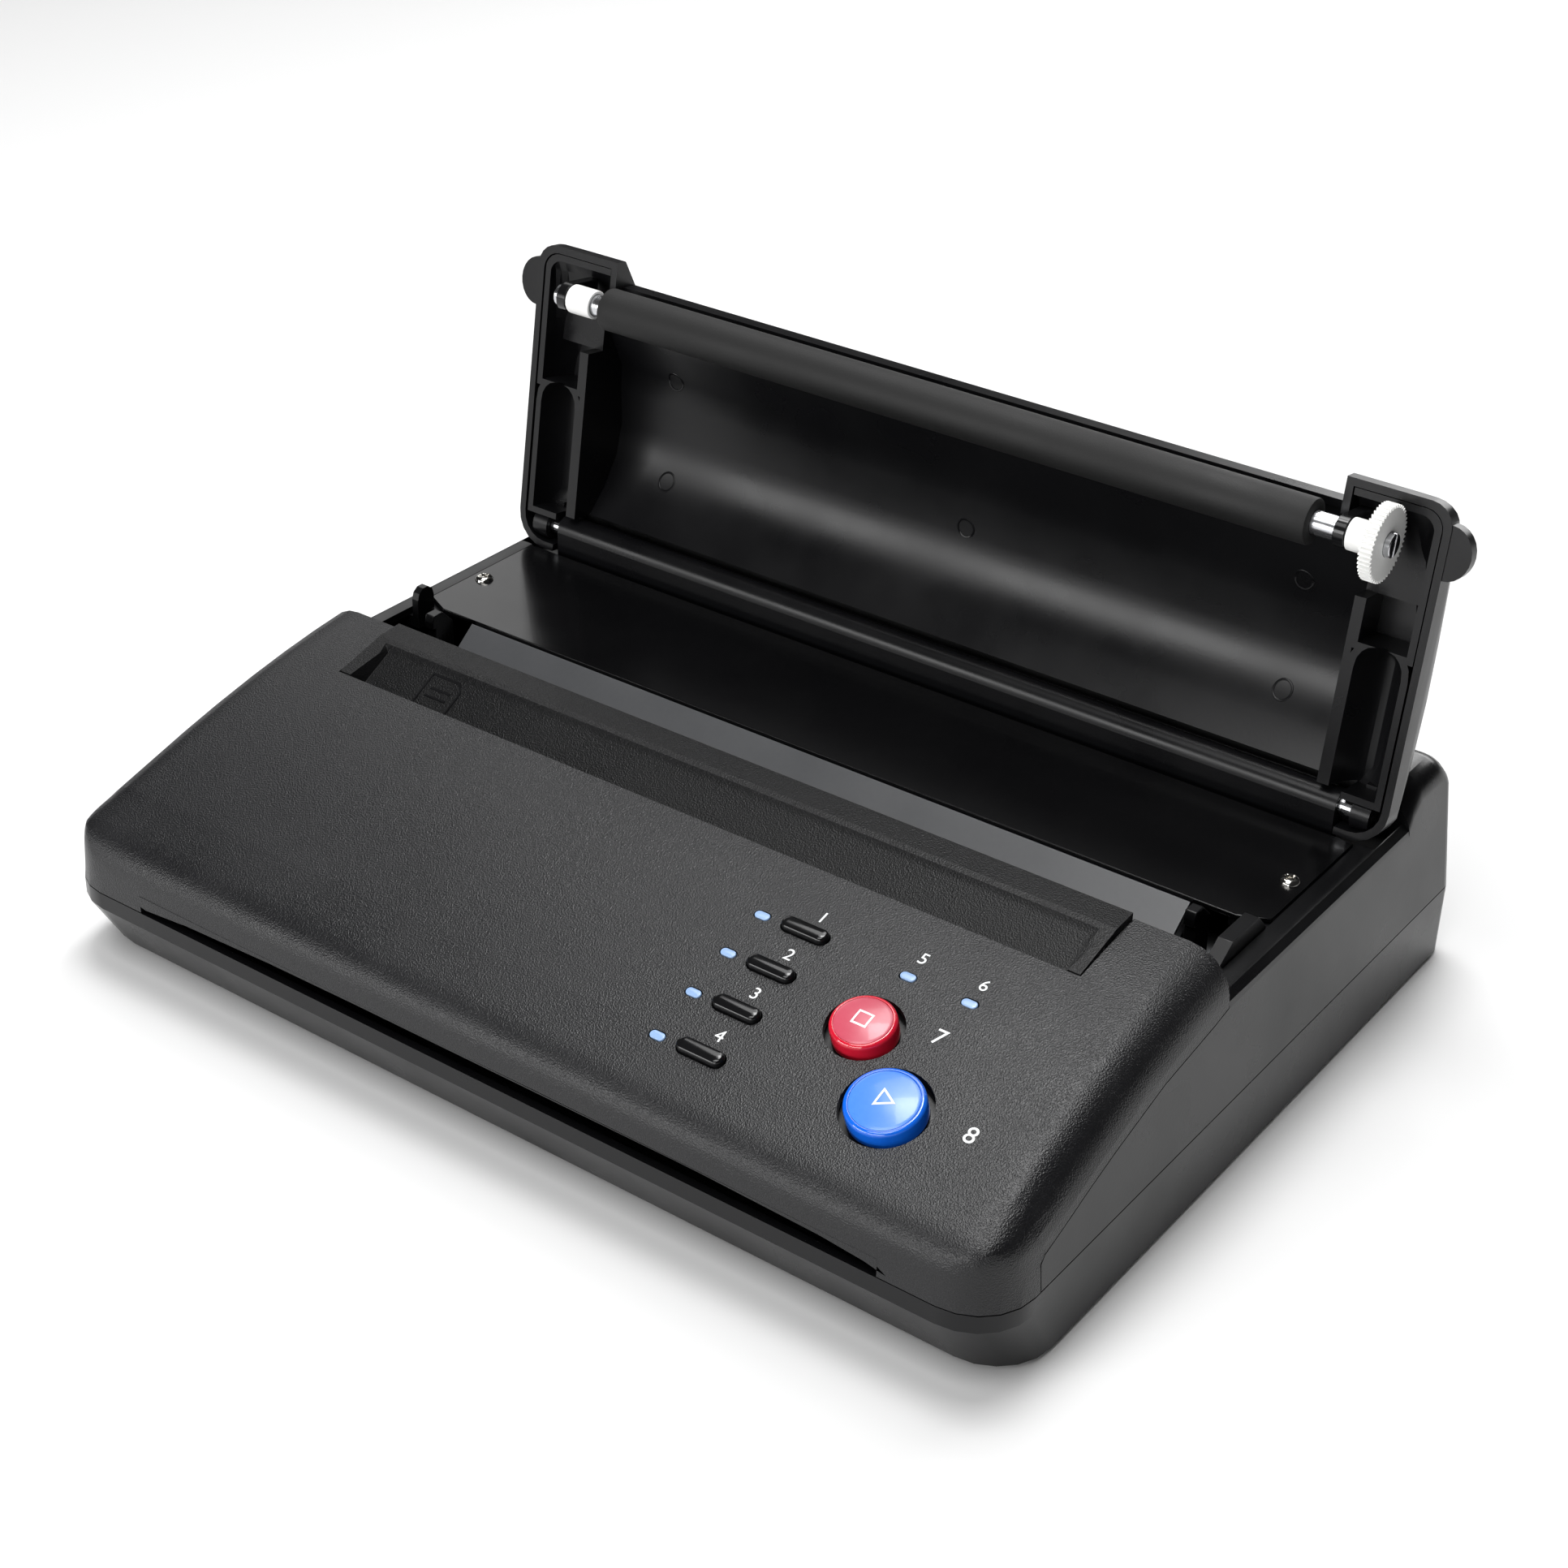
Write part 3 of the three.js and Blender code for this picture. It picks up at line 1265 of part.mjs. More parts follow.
// A bar along x under the head's sloping face, between two distances below that face
function headBar(span, [down, up], [top, bottom]) {
  const along = [Math.cos(radians(headSlopeDegrees)), Math.sin(radians(headSlopeDegrees))];
  const corner = (s, d) => sum(headTouch(), [s * along[0] + d * along[1], s * along[1] - d * along[0]]);
  return prism("x", [corner(-down, top), corner(up, top), corner(up, bottom), corner(-down, bottom)], span);
}

function headBoard() {
  return headBar([-headHalfWidth, headHalfWidth], [headDown, headUp], [0, headBoardThickness]);
}

function headSink() {
  const top = headBoardThickness + runningGap / 2;
  const bottom = top + sinkThickness;
  const span = [-headHalfWidth, headHalfWidth];
  const block = headBar(span, [headDown, headUp - wall], [top, bottom]);
  const pitch = (headDown + headUp - wall) / (sinkFinCount * 2 + 1);
  const grooves = Array.from({ length: sinkFinCount }, (_, i) => {
    const start = headDown - (2 * i + 1) * pitch;
    return headBar(grown(span, overrun), [start, pitch - start], [bottom - sinkFinDepth, bottom + overrun]);
  });
  return cut(block, ...grooves);
}

// A coil with straight ends; the least gap between turns is worked out from its pitch
function coilSpring(centre, [low, high]) {
  const pitch = (high - low - 2 * springWire) / springTurns;
  const steps = springTurns * springSteps;
  const rings = Array.from({ length: steps + 1 }, (_, i) => {
    const angle = (i / springSteps) * 2 * Math.PI;
    const height = low + springWire + (i / springSteps) * pitch;
    return Array.from({ length: springSides }, (_, k) => {
      const turn = (k / springSides) * 2 * Math.PI;
      const radius = springRadius + springWire * Math.cos(turn);
      return [centre[0] + radius * Math.cos(angle), centre[1] + radius * Math.sin(angle),
        height + springWire * Math.sin(turn)];
    });
  });
  console.log(`spring: least gap between turns ${(pitch - 2 * springWire).toFixed(2)} mm`);
  return loft(rings);
}

function headSpring(side) {
  const slope = radians(headSlopeDegrees);
  const [touchDepth, touchHeight] = headTouch();
  const front = headSpringDepth - springRadius - springWire;
  const top = touchHeight + (front - touchDepth) * Math.tan(slope)
    - (headBoardThickness + sinkThickness + 2 * runningGap) / Math.cos(slope);
  const centre = [side * headSpringShare * headHalfWidth, headSpringDepth];
  return coilSpring(centre, [trayFloor + runningGap, top]);
}

// Lever that hooks over the roller's bush
function latchHook(span) {
  const rear = latchDepth + hookHubRadius * hookWidthShare;
  const neck = latchDepth - hookHubRadius * hookWidthShare;
  const outline = [
    ...arc(latchCentre, [hookHubRadius, hookHubRadius], 180, 360, 8),
    [rear, hookTipHeight],
    [(rear + hookTipDepth) / 2, hookTopHeight],
    [(neck + hookTipDepth) / 2, hookTopHeight],
    [hookTipDepth, (hookTipHeight + hookTopHeight) / 2],
    [hookTipDepth, hookTipHeight],
    [neck, hookTipHeight],
  ];
  return cut(prism("x", outline, span),
    rod(latchShaftRadius + shaftClearance, grown(span, overrun), latchCentre, 16));
}

// Places a shape drawn about its own base onto the cover's sloping top
function onCover([x, depth], group) {
  const { height, tilt } = coverSurface(depth);
  group.position.set(x, depth, height);
  group.rotation.x = tilt;
  return group;
}

function placed(solid, [x, depth]) {
  const geometry = geometryOf(solid);
  const { height, tilt } = coverSurface(depth);
  geometry.rotateX(tilt);
  geometry.translate(x, depth, height);
  return solidOf(geometry);
}

function pillOutline(length, width) {
  const end = width / 2;
  const reach = length / 2 - end;
  return [...arc([reach, 0], [end, end], -90, 90, 8), ...arc([-reach, 0], [end, end], 90, 270, 8)];
}

function pill(length, width, span) {
  return prism("z", pillOutline(length, width), span);
}

const keyPlaces = keyDepths.map((depth) => [keyColumn, depth]);
const ledPlaces = [...ledDepths.map((depth) => [ledColumn, depth]), ...statusLedPlaces];

function controlHoles() {
  const through = [-2 * wall, 2 * wall];
  const keyHole = pill(keyLength + 2 * controlGap, keyWidth + 2 * controlGap, through);
  const ledHole = pill(ledLength + 2 * runningGap, ledWidth + 2 * runningGap, through);
  const round = (radius) => prism("z", circle([0, 0], radius + wellMargin, 32), through);
  return [
    ...keyPlaces.map((place) => placed(keyHole, place)),
    ...ledPlaces.map((place) => placed(ledHole, place)),
    placed(round(stopRadius), stopPlace),
    placed(round(copyRadius), copyPlace),
  ];
}

// Oblong key: a crowned cap on a skirt that keeps it behind the cover
function key(name, place) {
  const crown = loft([
    [keyLength, keyWidth, -wall],
    [keyLength, keyWidth, keyRise / 2],
    [keyLength - keyRise / 2, keyWidth - keyRise / 2, keyRise],
  ].map(([length, width, z]) => pillOutline(length, width).map(([x, y]) => [x, y, z])));
  const skirt = pill(keyLength + 2 * keySkirt, keyWidth + 2 * keySkirt,
    [-wall - 2 * controlGap - keySkirt, -wall - 2 * controlGap]);
  const neck = pill(keyLength, keyWidth, [-wall - 2 * controlGap - keySkirt / 2, -wall + keySkirt / 2]);
  const stem = prism("z", circle([0, 0], keyWidth / 3, 12),
    [controlTravel + runningGap - keyBoardDrop, -wall - keySkirt]);
  return onCover(place, piece(name, joined(crown, neck, skirt, stem), ...finish.gloss));
}

// Round push button: domed cap, rim and stem turned as one
function pushButton(name, place, radius, look) {
  const rim = radius * capRimShare;
  const flange = radius + wellMargin + keySkirt;
  const foot = controlTravel + runningGap - keyBoardDrop;
  const profile = [
    [0, foot], [keyWidth / 2, foot], [keyWidth / 2, -capSkirt],
    [flange, -capSkirt], [flange, -wall - 2 * controlGap],
    [radius, -wall - 2 * controlGap], [radius, capRise * capDomeShare],
    ...capCrownShares.map(([across, up]) => [rim * across, capRise * up]),
  ].map(([r, z]) => new THREE.Vector2(r, z));
  const turned = new THREE.LatheGeometry(profile, 36);
  turned.rotateX(Math.PI / 2);
  return onCover(place, piece(name, solidOf(turned), ...look));
}

function ledLens(name, place) {
  const solid = pill(ledLength, ledWidth, [-ledDrop, ledRise]);
  return onCover(place, piece(name, solid, ...finish.lens));
}

// Circuit board under the controls, parallel to the chord of the cover above it
function keyBoard() {
  const outline = [
    [keyBoardFront, keyBoardFrontHeight], [keyBoardRear, keyBoardRearHeight],
    [keyBoardRear, keyBoardRearHeight - keyBoardThickness],
    [keyBoardFront, keyBoardFrontHeight - keyBoardThickness],
  ];
  return prism("x", outline, [keyBoardLeft, keyBoardRight]);
}

function sensorBar() {
  const top = scanRollerHeight - scanRollerRadius - runningGap;
  return box(about(0, 2 * sensorHalfWidth), about(scanDepth, sensorDepth), [trayFloor + runningGap, top]);
}

function scanPieces() {
  const bore = scanShaftRadius + shaftClearance;
  const shaftEnd = scanCheek + scanCheekThickness + wall;
  const shaft = rod(scanShaftRadius, [-scanShaftHalfLength, shaftEnd], scanCentre, 16);
  const cover = sleeve(scanRollerRadius, bore, about(0, 2 * rubberHalfLength), scanCentre);
  const gear = spurGear(scanCentre, scanGearTeeth, 0, scanGearSpan, bore);
  return [
    piece("document_roller_shaft", shaft, ...finish.steel),
    piece("document_roller", cover, ...finish.rubber),
    piece("document_roller_gear", gear, ...finish.white),
  ];
}

function scanMotor() {
  const face = -scanGearInner + runningGap * 2;
  return rod(scanMotorRadius, [face, face + scanMotorLength], scanPinionCentre);
}

function scanPinion() {
  const pin = [scanGearSpan[0], scanGearSpan[1] + runningGap];
  const wheel = prism("x", gearOutline(scanPinionCentre, pinionTeeth, scanPinionPhase), scanGearSpan);
  return joined(wheel, rod(gearPinRadius, pin, scanPinionCentre, 12));
}

function circuitBoard([x0, x1], [y0, y1], base, height) {
  const chips = chipShares.map(([a, b, c, d]) => box(
    [x0 + a * (x1 - x0), x0 + b * (x1 - x0)], [y0 + c * (y1 - y0), y0 + d * (y1 - y0)],
    [base + boardThickness / 2, base + boardThickness + height]));
  return joined(box([x0, x1], [y0, y1], [base, base + boardThickness]), ...chips);
}

// Mains inlet: rounded shell with three blades standing in its cavity
function powerInlet() {
  const outline = (shrink) => roundedPlan(inletWidth / 2 - shrink, -inletHeight / 2 + shrink,
    inletHeight / 2 - shrink, inletCorner / 2, inletCorner / 2)
    .map((p) => sum(p, [inletCentre, socketCentreHeight]));
  const shell = cut(prism("y", outline(0), [inletFace - inletDepth, inletFace]),
    prism("y", outline(inletWall), [inletFace - inletCavityDepth, inletFace + overrun]));
  const blades = [-1, 0, 1].map((place) => box(
    about(inletCentre + place * inletBladePitch, inletBlade[0]),
    [inletFace - inletCavityDepth - overrun, inletFace - inletCavityDepth / 4],
    about(socketCentreHeight, inletBlade[1])));
  return joined(shell, ...blades);
}

const rockerAxis = [inletFace - rockerRadius * Math.cos(radians(rockerDegrees)), socketCentreHeight];

function switchFrame() {
  const outer = box(about(switchCentre, switchWidth), [inletFace - switchDepth, inletFace],
    about(socketCentreHeight, switchHeight));
  const hole = box(about(switchCentre, rockerWidth, runningGap),
    [inletFace - switchDepth + wall, inletFace + overrun],
    about(socketCentreHeight, rockerHeight, runningGap));
  return cut(outer, hole);
}

// Rocker, tipped to its off side: two flats meeting in a shallow valley
function switchRocker() {
  const half = rockerHeight / 2 - rockerRelief;
  const [axisDepth, axisHeight] = rockerAxis;
  const tip = radians(rockerDegrees);
  const face = inletFace - axisDepth;
  const outline = [
    [axisDepth + face - half * Math.tan(tip) * rockerLowShare, axisHeight - half],
    [axisDepth + face - wall / 2, axisHeight],
    [axisDepth + face - half * Math.tan(tip) - wall / 2, axisHeight + half],
    [axisDepth - wall, axisHeight + half / 2],
    [axisDepth - wall, axisHeight - half / 2],
  ];
  return prism("x", outline, about(switchCentre, rockerWidth));
}

function baseAssembly() {
  const boardBase = trayFloor + boardPost + runningGap;
  const hookSpans = [
    ["latch_hook_left", [-hookLeftOuter, hookThickness - hookLeftOuter]],
    ["latch_hook_right", [hookRightInner, hookRightInner + hookThickness]],
  ];
  return [
    piece("base_tray", baseTray(), ...finish.smooth),
    piece("front_cover", frontCover(), ...finish.grained),
    piece("document_ramp", documentRamp(), ...finish.smooth),
    piece("rear_casing", rearCasing(), ...finish.smooth),
    piece("feed_plate", feedPlate(), ...finish.gloss),
    piece("plate_screw_left", plateScrew(-1), ...finish.steel),
    piece("plate_screw_right", plateScrew(1), ...finish.steel),
    piece("hinge_rail", hingeRail(), ...finish.smooth),
    ...footPlaces().map((place, i) => piece(`foot_${i + 1}`, foot(place), ...finish.rubber)),
    piece("thermal_head_board", headBoard(), ...finish.ceramic),
    piece("thermal_head_sink", headSink(), ...finish.aluminium),
    piece("head_spring_left", headSpring(-1), ...finish.zinc),
    piece("head_spring_right", headSpring(1), ...finish.zinc),
    piece("gear_bracket", gearBracket(), ...finish.smooth),
    piece("drive_motor", driveMotor(), ...finish.zinc),
    piece("motor_pinion", motorPinion(), ...finish.zinc),
    piece("drive_gear", trainGear(driveCentre, driveTeeth, drivePhase), ...finish.white),
    piece("idler_gear", trainGear(idlerCentre, idlerTeeth, idlerPhase), ...finish.white),
    piece("latch_shaft", rod(latchShaftRadius, [-latchShaftHalfLength, latchShaftHalfLength + wall],
      [latchDepth, latchPivotHeight], 16), ...finish.steel),
    ...hookSpans.map(([name, span]) => piece(name, latchHook(span), ...finish.smooth)),
    piece("key_board", keyBoard(), ...finish.board),
    piece("sensor_bar", sensorBar(), ...finish.zinc),
    ...scanPieces(),
    piece("document_motor", scanMotor(), ...finish.zinc),
    piece("document_motor_pinion", scanPinion(), ...finish.zinc),
    piece("main_board", circuitBoard(mainBoardSpan, mainBoardDepths, boardBase, chipHeight), ...finish.board),
    piece("power_supply", box(supplySpan, supplyDepths, [trayFloor + runningGap, trayFloor + supplyHeight]),
      ...finish.aluminium),
    piece("power_inlet", powerInlet(), ...finish.smooth),
    piece("power_switch_frame", switchFrame(), ...finish.smooth),
    piece("power_switch_rocker", switchRocker(), ...finish.gloss),
    ...ledPlaces.map((place, i) => ledLens(`led_lens_${i + 1}`, place)),
    ...keyPlaces.map((place, i) => key(`mode_key_${i + 1}`, place)),
    pushButton("stop_button", stopPlace, stopRadius, finish.red),
    pushButton("copy_button", copyPlace, copyRadius, finish.blue),
  ];
}

function lidAssembly() {
  const [plateRight, plateLeft] = [1, -1].map((side) =>
    spanOf(side, side > 0 ? bearingPlateRight : bearingPlateLeft, bearingPlateThickness));
  return [
    piece("lid_outer_shell", lidOuterShell(), ...finish.smooth),
    piece("lid_inner_frame", lidInnerFrame(), ...finish.smooth),
    piece("hinge_pin_left", hingePin(-1), ...finish.steel),
    piece("hinge_pin_right", hingePin(1), ...finish.steel),
    piece("bearing_plate_left", bearingPlate(plateLeft), ...finish.gloss),
    piece("bearing_plate_right", bearingPlate(plateRight), ...finish.gloss),
    ...platenPieces(),
  ];
}

// The lid swings about its pins; drawn closed, it stands open here
const lid = new THREE.Group();
lid.add(...lidAssembly());
lid.position.set(0, -hingeDepth, -hingeHeight);
const lidHinge = new THREE.Group();
lidHinge.add(lid);
lidHinge.position.set(0, hingeDepth, hingeHeight);
lidHinge.rotation.x = -radians(lidOpenDegrees);

const copier = new THREE.Group();
copier.add(...baseAssembly(), lidHinge);
copier.position.set(0, -caseDepth / 2, trayHeight + footLift);

export default copier;
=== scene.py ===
import logging
import math
from dataclasses import dataclass
from enum import Enum
from typing import Sequence

import bmesh
import bpy
import numpy as np
from mathutils import Matrix, Vector


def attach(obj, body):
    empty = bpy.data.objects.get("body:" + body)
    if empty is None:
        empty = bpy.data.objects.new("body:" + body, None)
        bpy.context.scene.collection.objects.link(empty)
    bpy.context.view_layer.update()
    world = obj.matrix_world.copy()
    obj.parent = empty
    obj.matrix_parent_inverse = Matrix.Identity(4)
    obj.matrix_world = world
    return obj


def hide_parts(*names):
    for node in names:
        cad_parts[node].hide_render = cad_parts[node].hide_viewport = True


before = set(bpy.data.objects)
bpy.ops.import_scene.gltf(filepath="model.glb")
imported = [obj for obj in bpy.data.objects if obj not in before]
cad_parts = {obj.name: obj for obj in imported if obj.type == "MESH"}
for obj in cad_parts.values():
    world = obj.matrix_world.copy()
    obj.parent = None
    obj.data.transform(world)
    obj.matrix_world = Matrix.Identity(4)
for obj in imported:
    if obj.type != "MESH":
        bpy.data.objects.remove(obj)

# The studio picture of a thermal stencil copier that stands with its lid open.
# Sizes are written in millimetres in the case's own frame: X across the front, Y from the
# front face to the back, Z up from the seam. in_frame turns them to the shared frame in metres.

MM = 0.001
CASE_SHIFT = np.array([0.0, -110.0, 21.2])
HINGE = np.array([0.0, 180.0, 35.5])
LID_OPEN_DEGREES = 98.4
# Seat of the feed plate's right-hand screw; the left-hand one mirrors it
SCREW_SEAT = (127.1, 147.6, 30.5)
# Points closer than this, in metres, are one point
SAME_POINT = 1e-6
# Cut lines run along X, stretched to one part in seventeen of their natural rate
LINE_STRETCH = 0.06
# Flow in the mould and handling leave patches some centimetres wide
PATCHES_PER_METRE = 38.0
# How much of the colour's mottle comes from the grain and how much from the patches
GRAIN_SHARE = 0.55
PATCH_SHARE = 0.45
COAT_ROUGHNESS = 0.06
# Points round a cap or a screw
CAP_STEPS = 96
log = logging.getLogger("copier")


def in_frame(points: np.ndarray) -> np.ndarray:
    """Points of the case's frame in millimetres as points of the shared frame in metres.

    Args:
        points: any array whose last axis is x, y, z.

    Returns:
        The same array, shifted to the base's centre and scaled to metres.
    """
    return (np.asarray(points, float) + CASE_SHIFT) * MM


def opened(points: np.ndarray) -> np.ndarray:
    """Points drawn on the closed lid, turned about the hinge to where the open lid holds them.

    Args:
        points: any array whose last axis is x, y, z, in the case's frame.

    Returns:
        y and z turned by the opening angle about the hinge's X axis; x stays.
    """
    angle = math.radians(-LID_OPEN_DEGREES)
    turned = np.array(points, float)
    dy, dz = turned[..., 1] - HINGE[1], turned[..., 2] - HINGE[2]
    turned[..., 1] = HINGE[1] + dy * math.cos(angle) - dz * math.sin(angle)
    turned[..., 2] = HINGE[2] + dy * math.sin(angle) + dz * math.cos(angle)
    return turned


def linear(code: str) -> tuple[float, float, float, float]:
    """A colour written as sRGB hex, as the linear colour that a shader socket takes.

    Args:
        code: six hex digits, such as "1c1c1e".

    Returns:
        Linear red, green and blue, and an alpha of one.
    """
    shares = np.array([int(code[i:i + 2], 16) / 255 for i in (0, 2, 4)])
    low = shares / 12.92
    high = ((shares + 0.055) / 1.055) ** 2.4
    red, green, blue = (float(v) for v in np.where(shares <= 0.04045, low, high))
    return red, green, blue, 1.0


def add_node(tree: bpy.types.NodeTree, kind: str, settings: dict | None = None,
             inputs: dict | None = None) -> bpy.types.Node:
    """Adds one shader node.

    Args:
        tree: the node tree that gets it.
        kind: the node's type name.
        settings: attributes of the node itself.
        inputs: for each input by name or number, a value, or an output socket to link.

    Returns:
        The new node.
    """
    node = tree.nodes.new(kind)
    for key, value in (settings or {}).items():
        setattr(node, key, value)
    for key, value in (inputs or {}).items():
        if isinstance(value, bpy.types.NodeSocket):
            tree.links.new(value, node.inputs[key])
        else:
            node.inputs[key].default_value = value
    return node


class Grain(Enum):
    """How a surface was made, which sets the pattern that its bump and sheen follow."""

    PEBBLED = "spark-eroded mould texture of small round grains"
    SATIN = "fine bead-blasted mould"
    POLISHED = "polished mould or clear lacquer"
    BRUSHED = "turned or ground metal with fine lines along X"
    GROUND = "ground rubber"


@dataclass(frozen=True)
class Finish:
    """One real material and the way its surface was made.

    Lengths are millimetres; colours are sRGB hex.
    """

    name: str
    slot: str
    colour: str
    shade: str
    grain: Grain
    grain_size: float
    grain_depth: float
    roughness: float
    spread: float
    ior: float = 1.5
    metallic: float = 0.0
    coat: float = 0.0
    # Emission strength, a painted glow on parts that are no lamps
    painted_glow: float = 0.0
    gloss: float = 0.35

    def pattern(self, tree: bpy.types.NodeTree) -> bpy.types.NodeSocket:
        """The grain's height, from 0 to 1, on Object coordinates.

        Args:
            tree: the material's node tree.

        Returns:
            The socket that carries the height.
        """
        place = add_node(tree, "ShaderNodeTexCoord").outputs["Object"]
        per_metre = 1.0 / (self.grain_size * MM)
        if self.grain is Grain.BRUSHED:
            place = add_node(tree, "ShaderNodeMapping", {},
                             {"Vector": place, "Scale": (LINE_STRETCH, 1.0, 1.0)}).outputs[0]
        if self.grain is Grain.PEBBLED:
            warp = add_node(tree, "ShaderNodeTexNoise", {},
                            {"Vector": place, "Scale": per_metre * 0.7, "Detail": 2.0})
            cells = add_node(tree, "ShaderNodeTexVoronoi", {"feature": "SMOOTH_F1"},
                             {"Vector": place, "Scale": per_metre, "Smoothness": 0.6})
            return add_node(tree, "ShaderNodeMath", {"operation": "ADD"},
                            {0: cells.outputs["Distance"], 1: warp.outputs["Fac"]}).outputs[0]
        noise = add_node(tree, "ShaderNodeTexNoise", {},
                         {"Vector": place, "Scale": per_metre, "Detail": 3.0, "Roughness": 0.55})
        return noise.outputs["Fac"]

    def build(self) -> bpy.types.Material:
        """Makes the material: mottled colour, uneven sheen, the grain as bump and any painted glow.

        Returns:
            The material, named for what it is and how it was made.
        """
        material = bpy.data.materials.new(self.name)
        material.use_nodes = True
        tree = material.node_tree
        shader = tree.nodes["Principled BSDF"]
        height = self.pattern(tree)
        place = add_node(tree, "ShaderNodeTexCoord").outputs["Object"]
        patches = add_node(tree, "ShaderNodeTexNoise", {},
                           {"Vector": place, "Scale": PATCHES_PER_METRE, "Detail": 4.0})
        blend = add_node(tree, "ShaderNodeMath", {"operation": "MULTIPLY_ADD", "use_clamp": True},
                         {0: height, 1: GRAIN_SHARE, 2: 0.0})
        patch_part = add_node(tree, "ShaderNodeMath", {"operation": "MULTIPLY"},
                              {0: patches.outputs["Fac"], 1: PATCH_SHARE})
        tree.links.new(patch_part.outputs[0], blend.inputs[2])
        colour = add_node(tree, "ShaderNodeMix", {"data_type": "RGBA"},
                          {0: blend.outputs[0], 6: linear(self.colour), 7: linear(self.shade)})
        tree.links.new(colour.outputs[2], shader.inputs["Base Color"])
        sheen = add_node(tree, "ShaderNodeMapRange", {}, {
            "Value": patches.outputs["Fac"], "From Min": 0.3, "From Max": 0.7,
            "To Min": self.roughness - self.spread, "To Max": self.roughness + self.spread})
        tree.links.new(sheen.outputs[0], shader.inputs["Roughness"])
        bump = add_node(tree, "ShaderNodeBump", {}, {"Height": height, "Strength": 1.0,
                                                     "Distance": self.grain_depth * MM})
        tree.links.new(bump.outputs[0], shader.inputs["Normal"])
        shader.inputs["Metallic"].default_value = self.metallic
        if self.metallic < 1.0:
            shader.inputs["IOR"].default_value = self.ior
            shader.inputs["Specular IOR Level"].default_value = self.gloss
        shader.inputs["Coat Weight"].default_value = self.coat
        shader.inputs["Coat Roughness"].default_value = COAT_ROUGHNESS
        # Painted light: the emission makes the part glow though it is no lamp
        if self.painted_glow:
            shader.inputs["Emission Color"].default_value = linear(self.colour)
            shader.inputs["Emission Strength"].default_value = self.painted_glow
        return material


# Injection-moulded ABS, spark-eroded grain: soft broken highlights over near black
PEBBLED_ABS = Finish("ABS_moulded_pebble_grain", "grained_black_abs", "0b0b0c", "151517",
                     Grain.PEBBLED, grain_size=0.34, grain_depth=0.095, roughness=0.36, spread=0.05,
                     ior=1.46, gloss=0.42)
# The same grain on the trough's floor with painted shade: its colour is darkened for the shade in the
# recessed trough, and it is duller there
TROUGH_SHADED_ABS = Finish("ABS_moulded_pebble_grain_painted_shade", "grained_black_abs", "050506", "0a0a0b",
                    Grain.PEBBLED, grain_size=0.34, grain_depth=0.09, roughness=0.4, spread=0.05,
                    ior=1.46, gloss=0.25)
# Injection-moulded ABS, bead-blasted mould: even satin sheen
SATIN_ABS = Finish("ABS_moulded_satin", "smooth_black_abs", "080809", "0e0e10", Grain.SATIN,
                   grain_size=0.9, grain_depth=0.01, roughness=0.3, spread=0.05, ior=1.44, gloss=0.34)
# Injection-moulded ABS from a polished mould: sharp reflections
GLOSS_ABS = Finish("ABS_moulded_polished", "gloss_black_abs", "0c0c0d", "121213", Grain.POLISHED,
                   grain_size=6.0, grain_depth=0.004, roughness=0.14, spread=0.03, ior=1.54)
# Stoved gloss lacquer on sheet: nearly a mirror, a little orange peel
LACQUER = Finish("steel_sheet_black_lacquer", "gloss_black_abs", "060607", "0a0a0b", Grain.POLISHED,
                 grain_size=3.2, grain_depth=0.005, roughness=0.2, spread=0.03, ior=1.54, coat=0.1,
                 gloss=0.3)
# Printed glaze over the alumina head: flat mid grey, silky
GLAZE = Finish("ceramic_glazed_head", "head_ceramic", "48494b", "545557", Grain.SATIN, grain_size=1.4,
               grain_depth=0.006, roughness=0.34, spread=0.04, ior=1.55, gloss=0.5)
# Silicone rubber ground round: deep matte black with a dry surface
RUBBER = Finish("silicone_rubber_ground", "rubber", "111111", "191919", Grain.GROUND, grain_size=0.5,
                grain_depth=0.05, roughness=0.62, spread=0.06, ior=1.46)
# Turned and ground steel shaft
STEEL = Finish("steel_ground_bright", "steel", "b9babd", "d2d3d6", Grain.BRUSHED, grain_size=0.35,
               grain_depth=0.01, roughness=0.2, spread=0.05, ior=1.45, metallic=1.0)
# Nickel-plated pan screws
NICKEL = Finish("steel_nickel_plated", "zinc_plate", "c9c6c0", "dedcd8", Grain.SATIN, grain_size=1.2,
                grain_depth=0.004, roughness=0.14, spread=0.04, ior=1.45, metallic=1.0)
# Zinc-plated pressed steel
ZINC = Finish("steel_zinc_plated", "zinc_plate", "9b9da0", "b4b6b8", Grain.BRUSHED, grain_size=0.6,
              grain_depth=0.01, roughness=0.34, spread=0.06, ior=1.45, metallic=1.0)
# Extruded aluminium, as drawn
ALUMINIUM = Finish("aluminium_extruded", "aluminium", "a8aaad", "c0c2c4", Grain.BRUSHED,
                   grain_size=0.4, grain_depth=0.012, roughness=0.36, spread=0.06, ior=1.45,
                   metallic=1.0)
# Injection-moulded white acetal: waxy white with soft highlights
ACETAL = Finish("acetal_moulded_white", "white_acetal", "e6e6e4", "f2f2f0", Grain.SATIN,
                grain_size=1.0, grain_depth=0.008, roughness=0.38, spread=0.05, ior=1.48)
# Green solder mask on glass-epoxy board
BOARD = Finish("glass_epoxy_solder_mask", "circuit_board", "12321f", "1a4029", Grain.SATIN,
               grain_size=2.0, grain_depth=0.01, roughness=0.35, spread=0.05)
# White screen-printed ink on the grained cover
INK = Finish("ink_screen_printed_white", "white_acetal", "d6d8da", "eceeef", Grain.SATIN,
             grain_size=0.4, grain_depth=0.006, roughness=0.5, spread=0.05)
# Blue-tinted acrylic light pipe, unlit
LENS = Finish("acrylic_pale_blue", "led_lens", "7f9cc4", "93aed2", Grain.POLISHED, grain_size=2.0,
              grain_depth=0.004, roughness=0.2, spread=0.04, ior=1.49, coat=0.3)
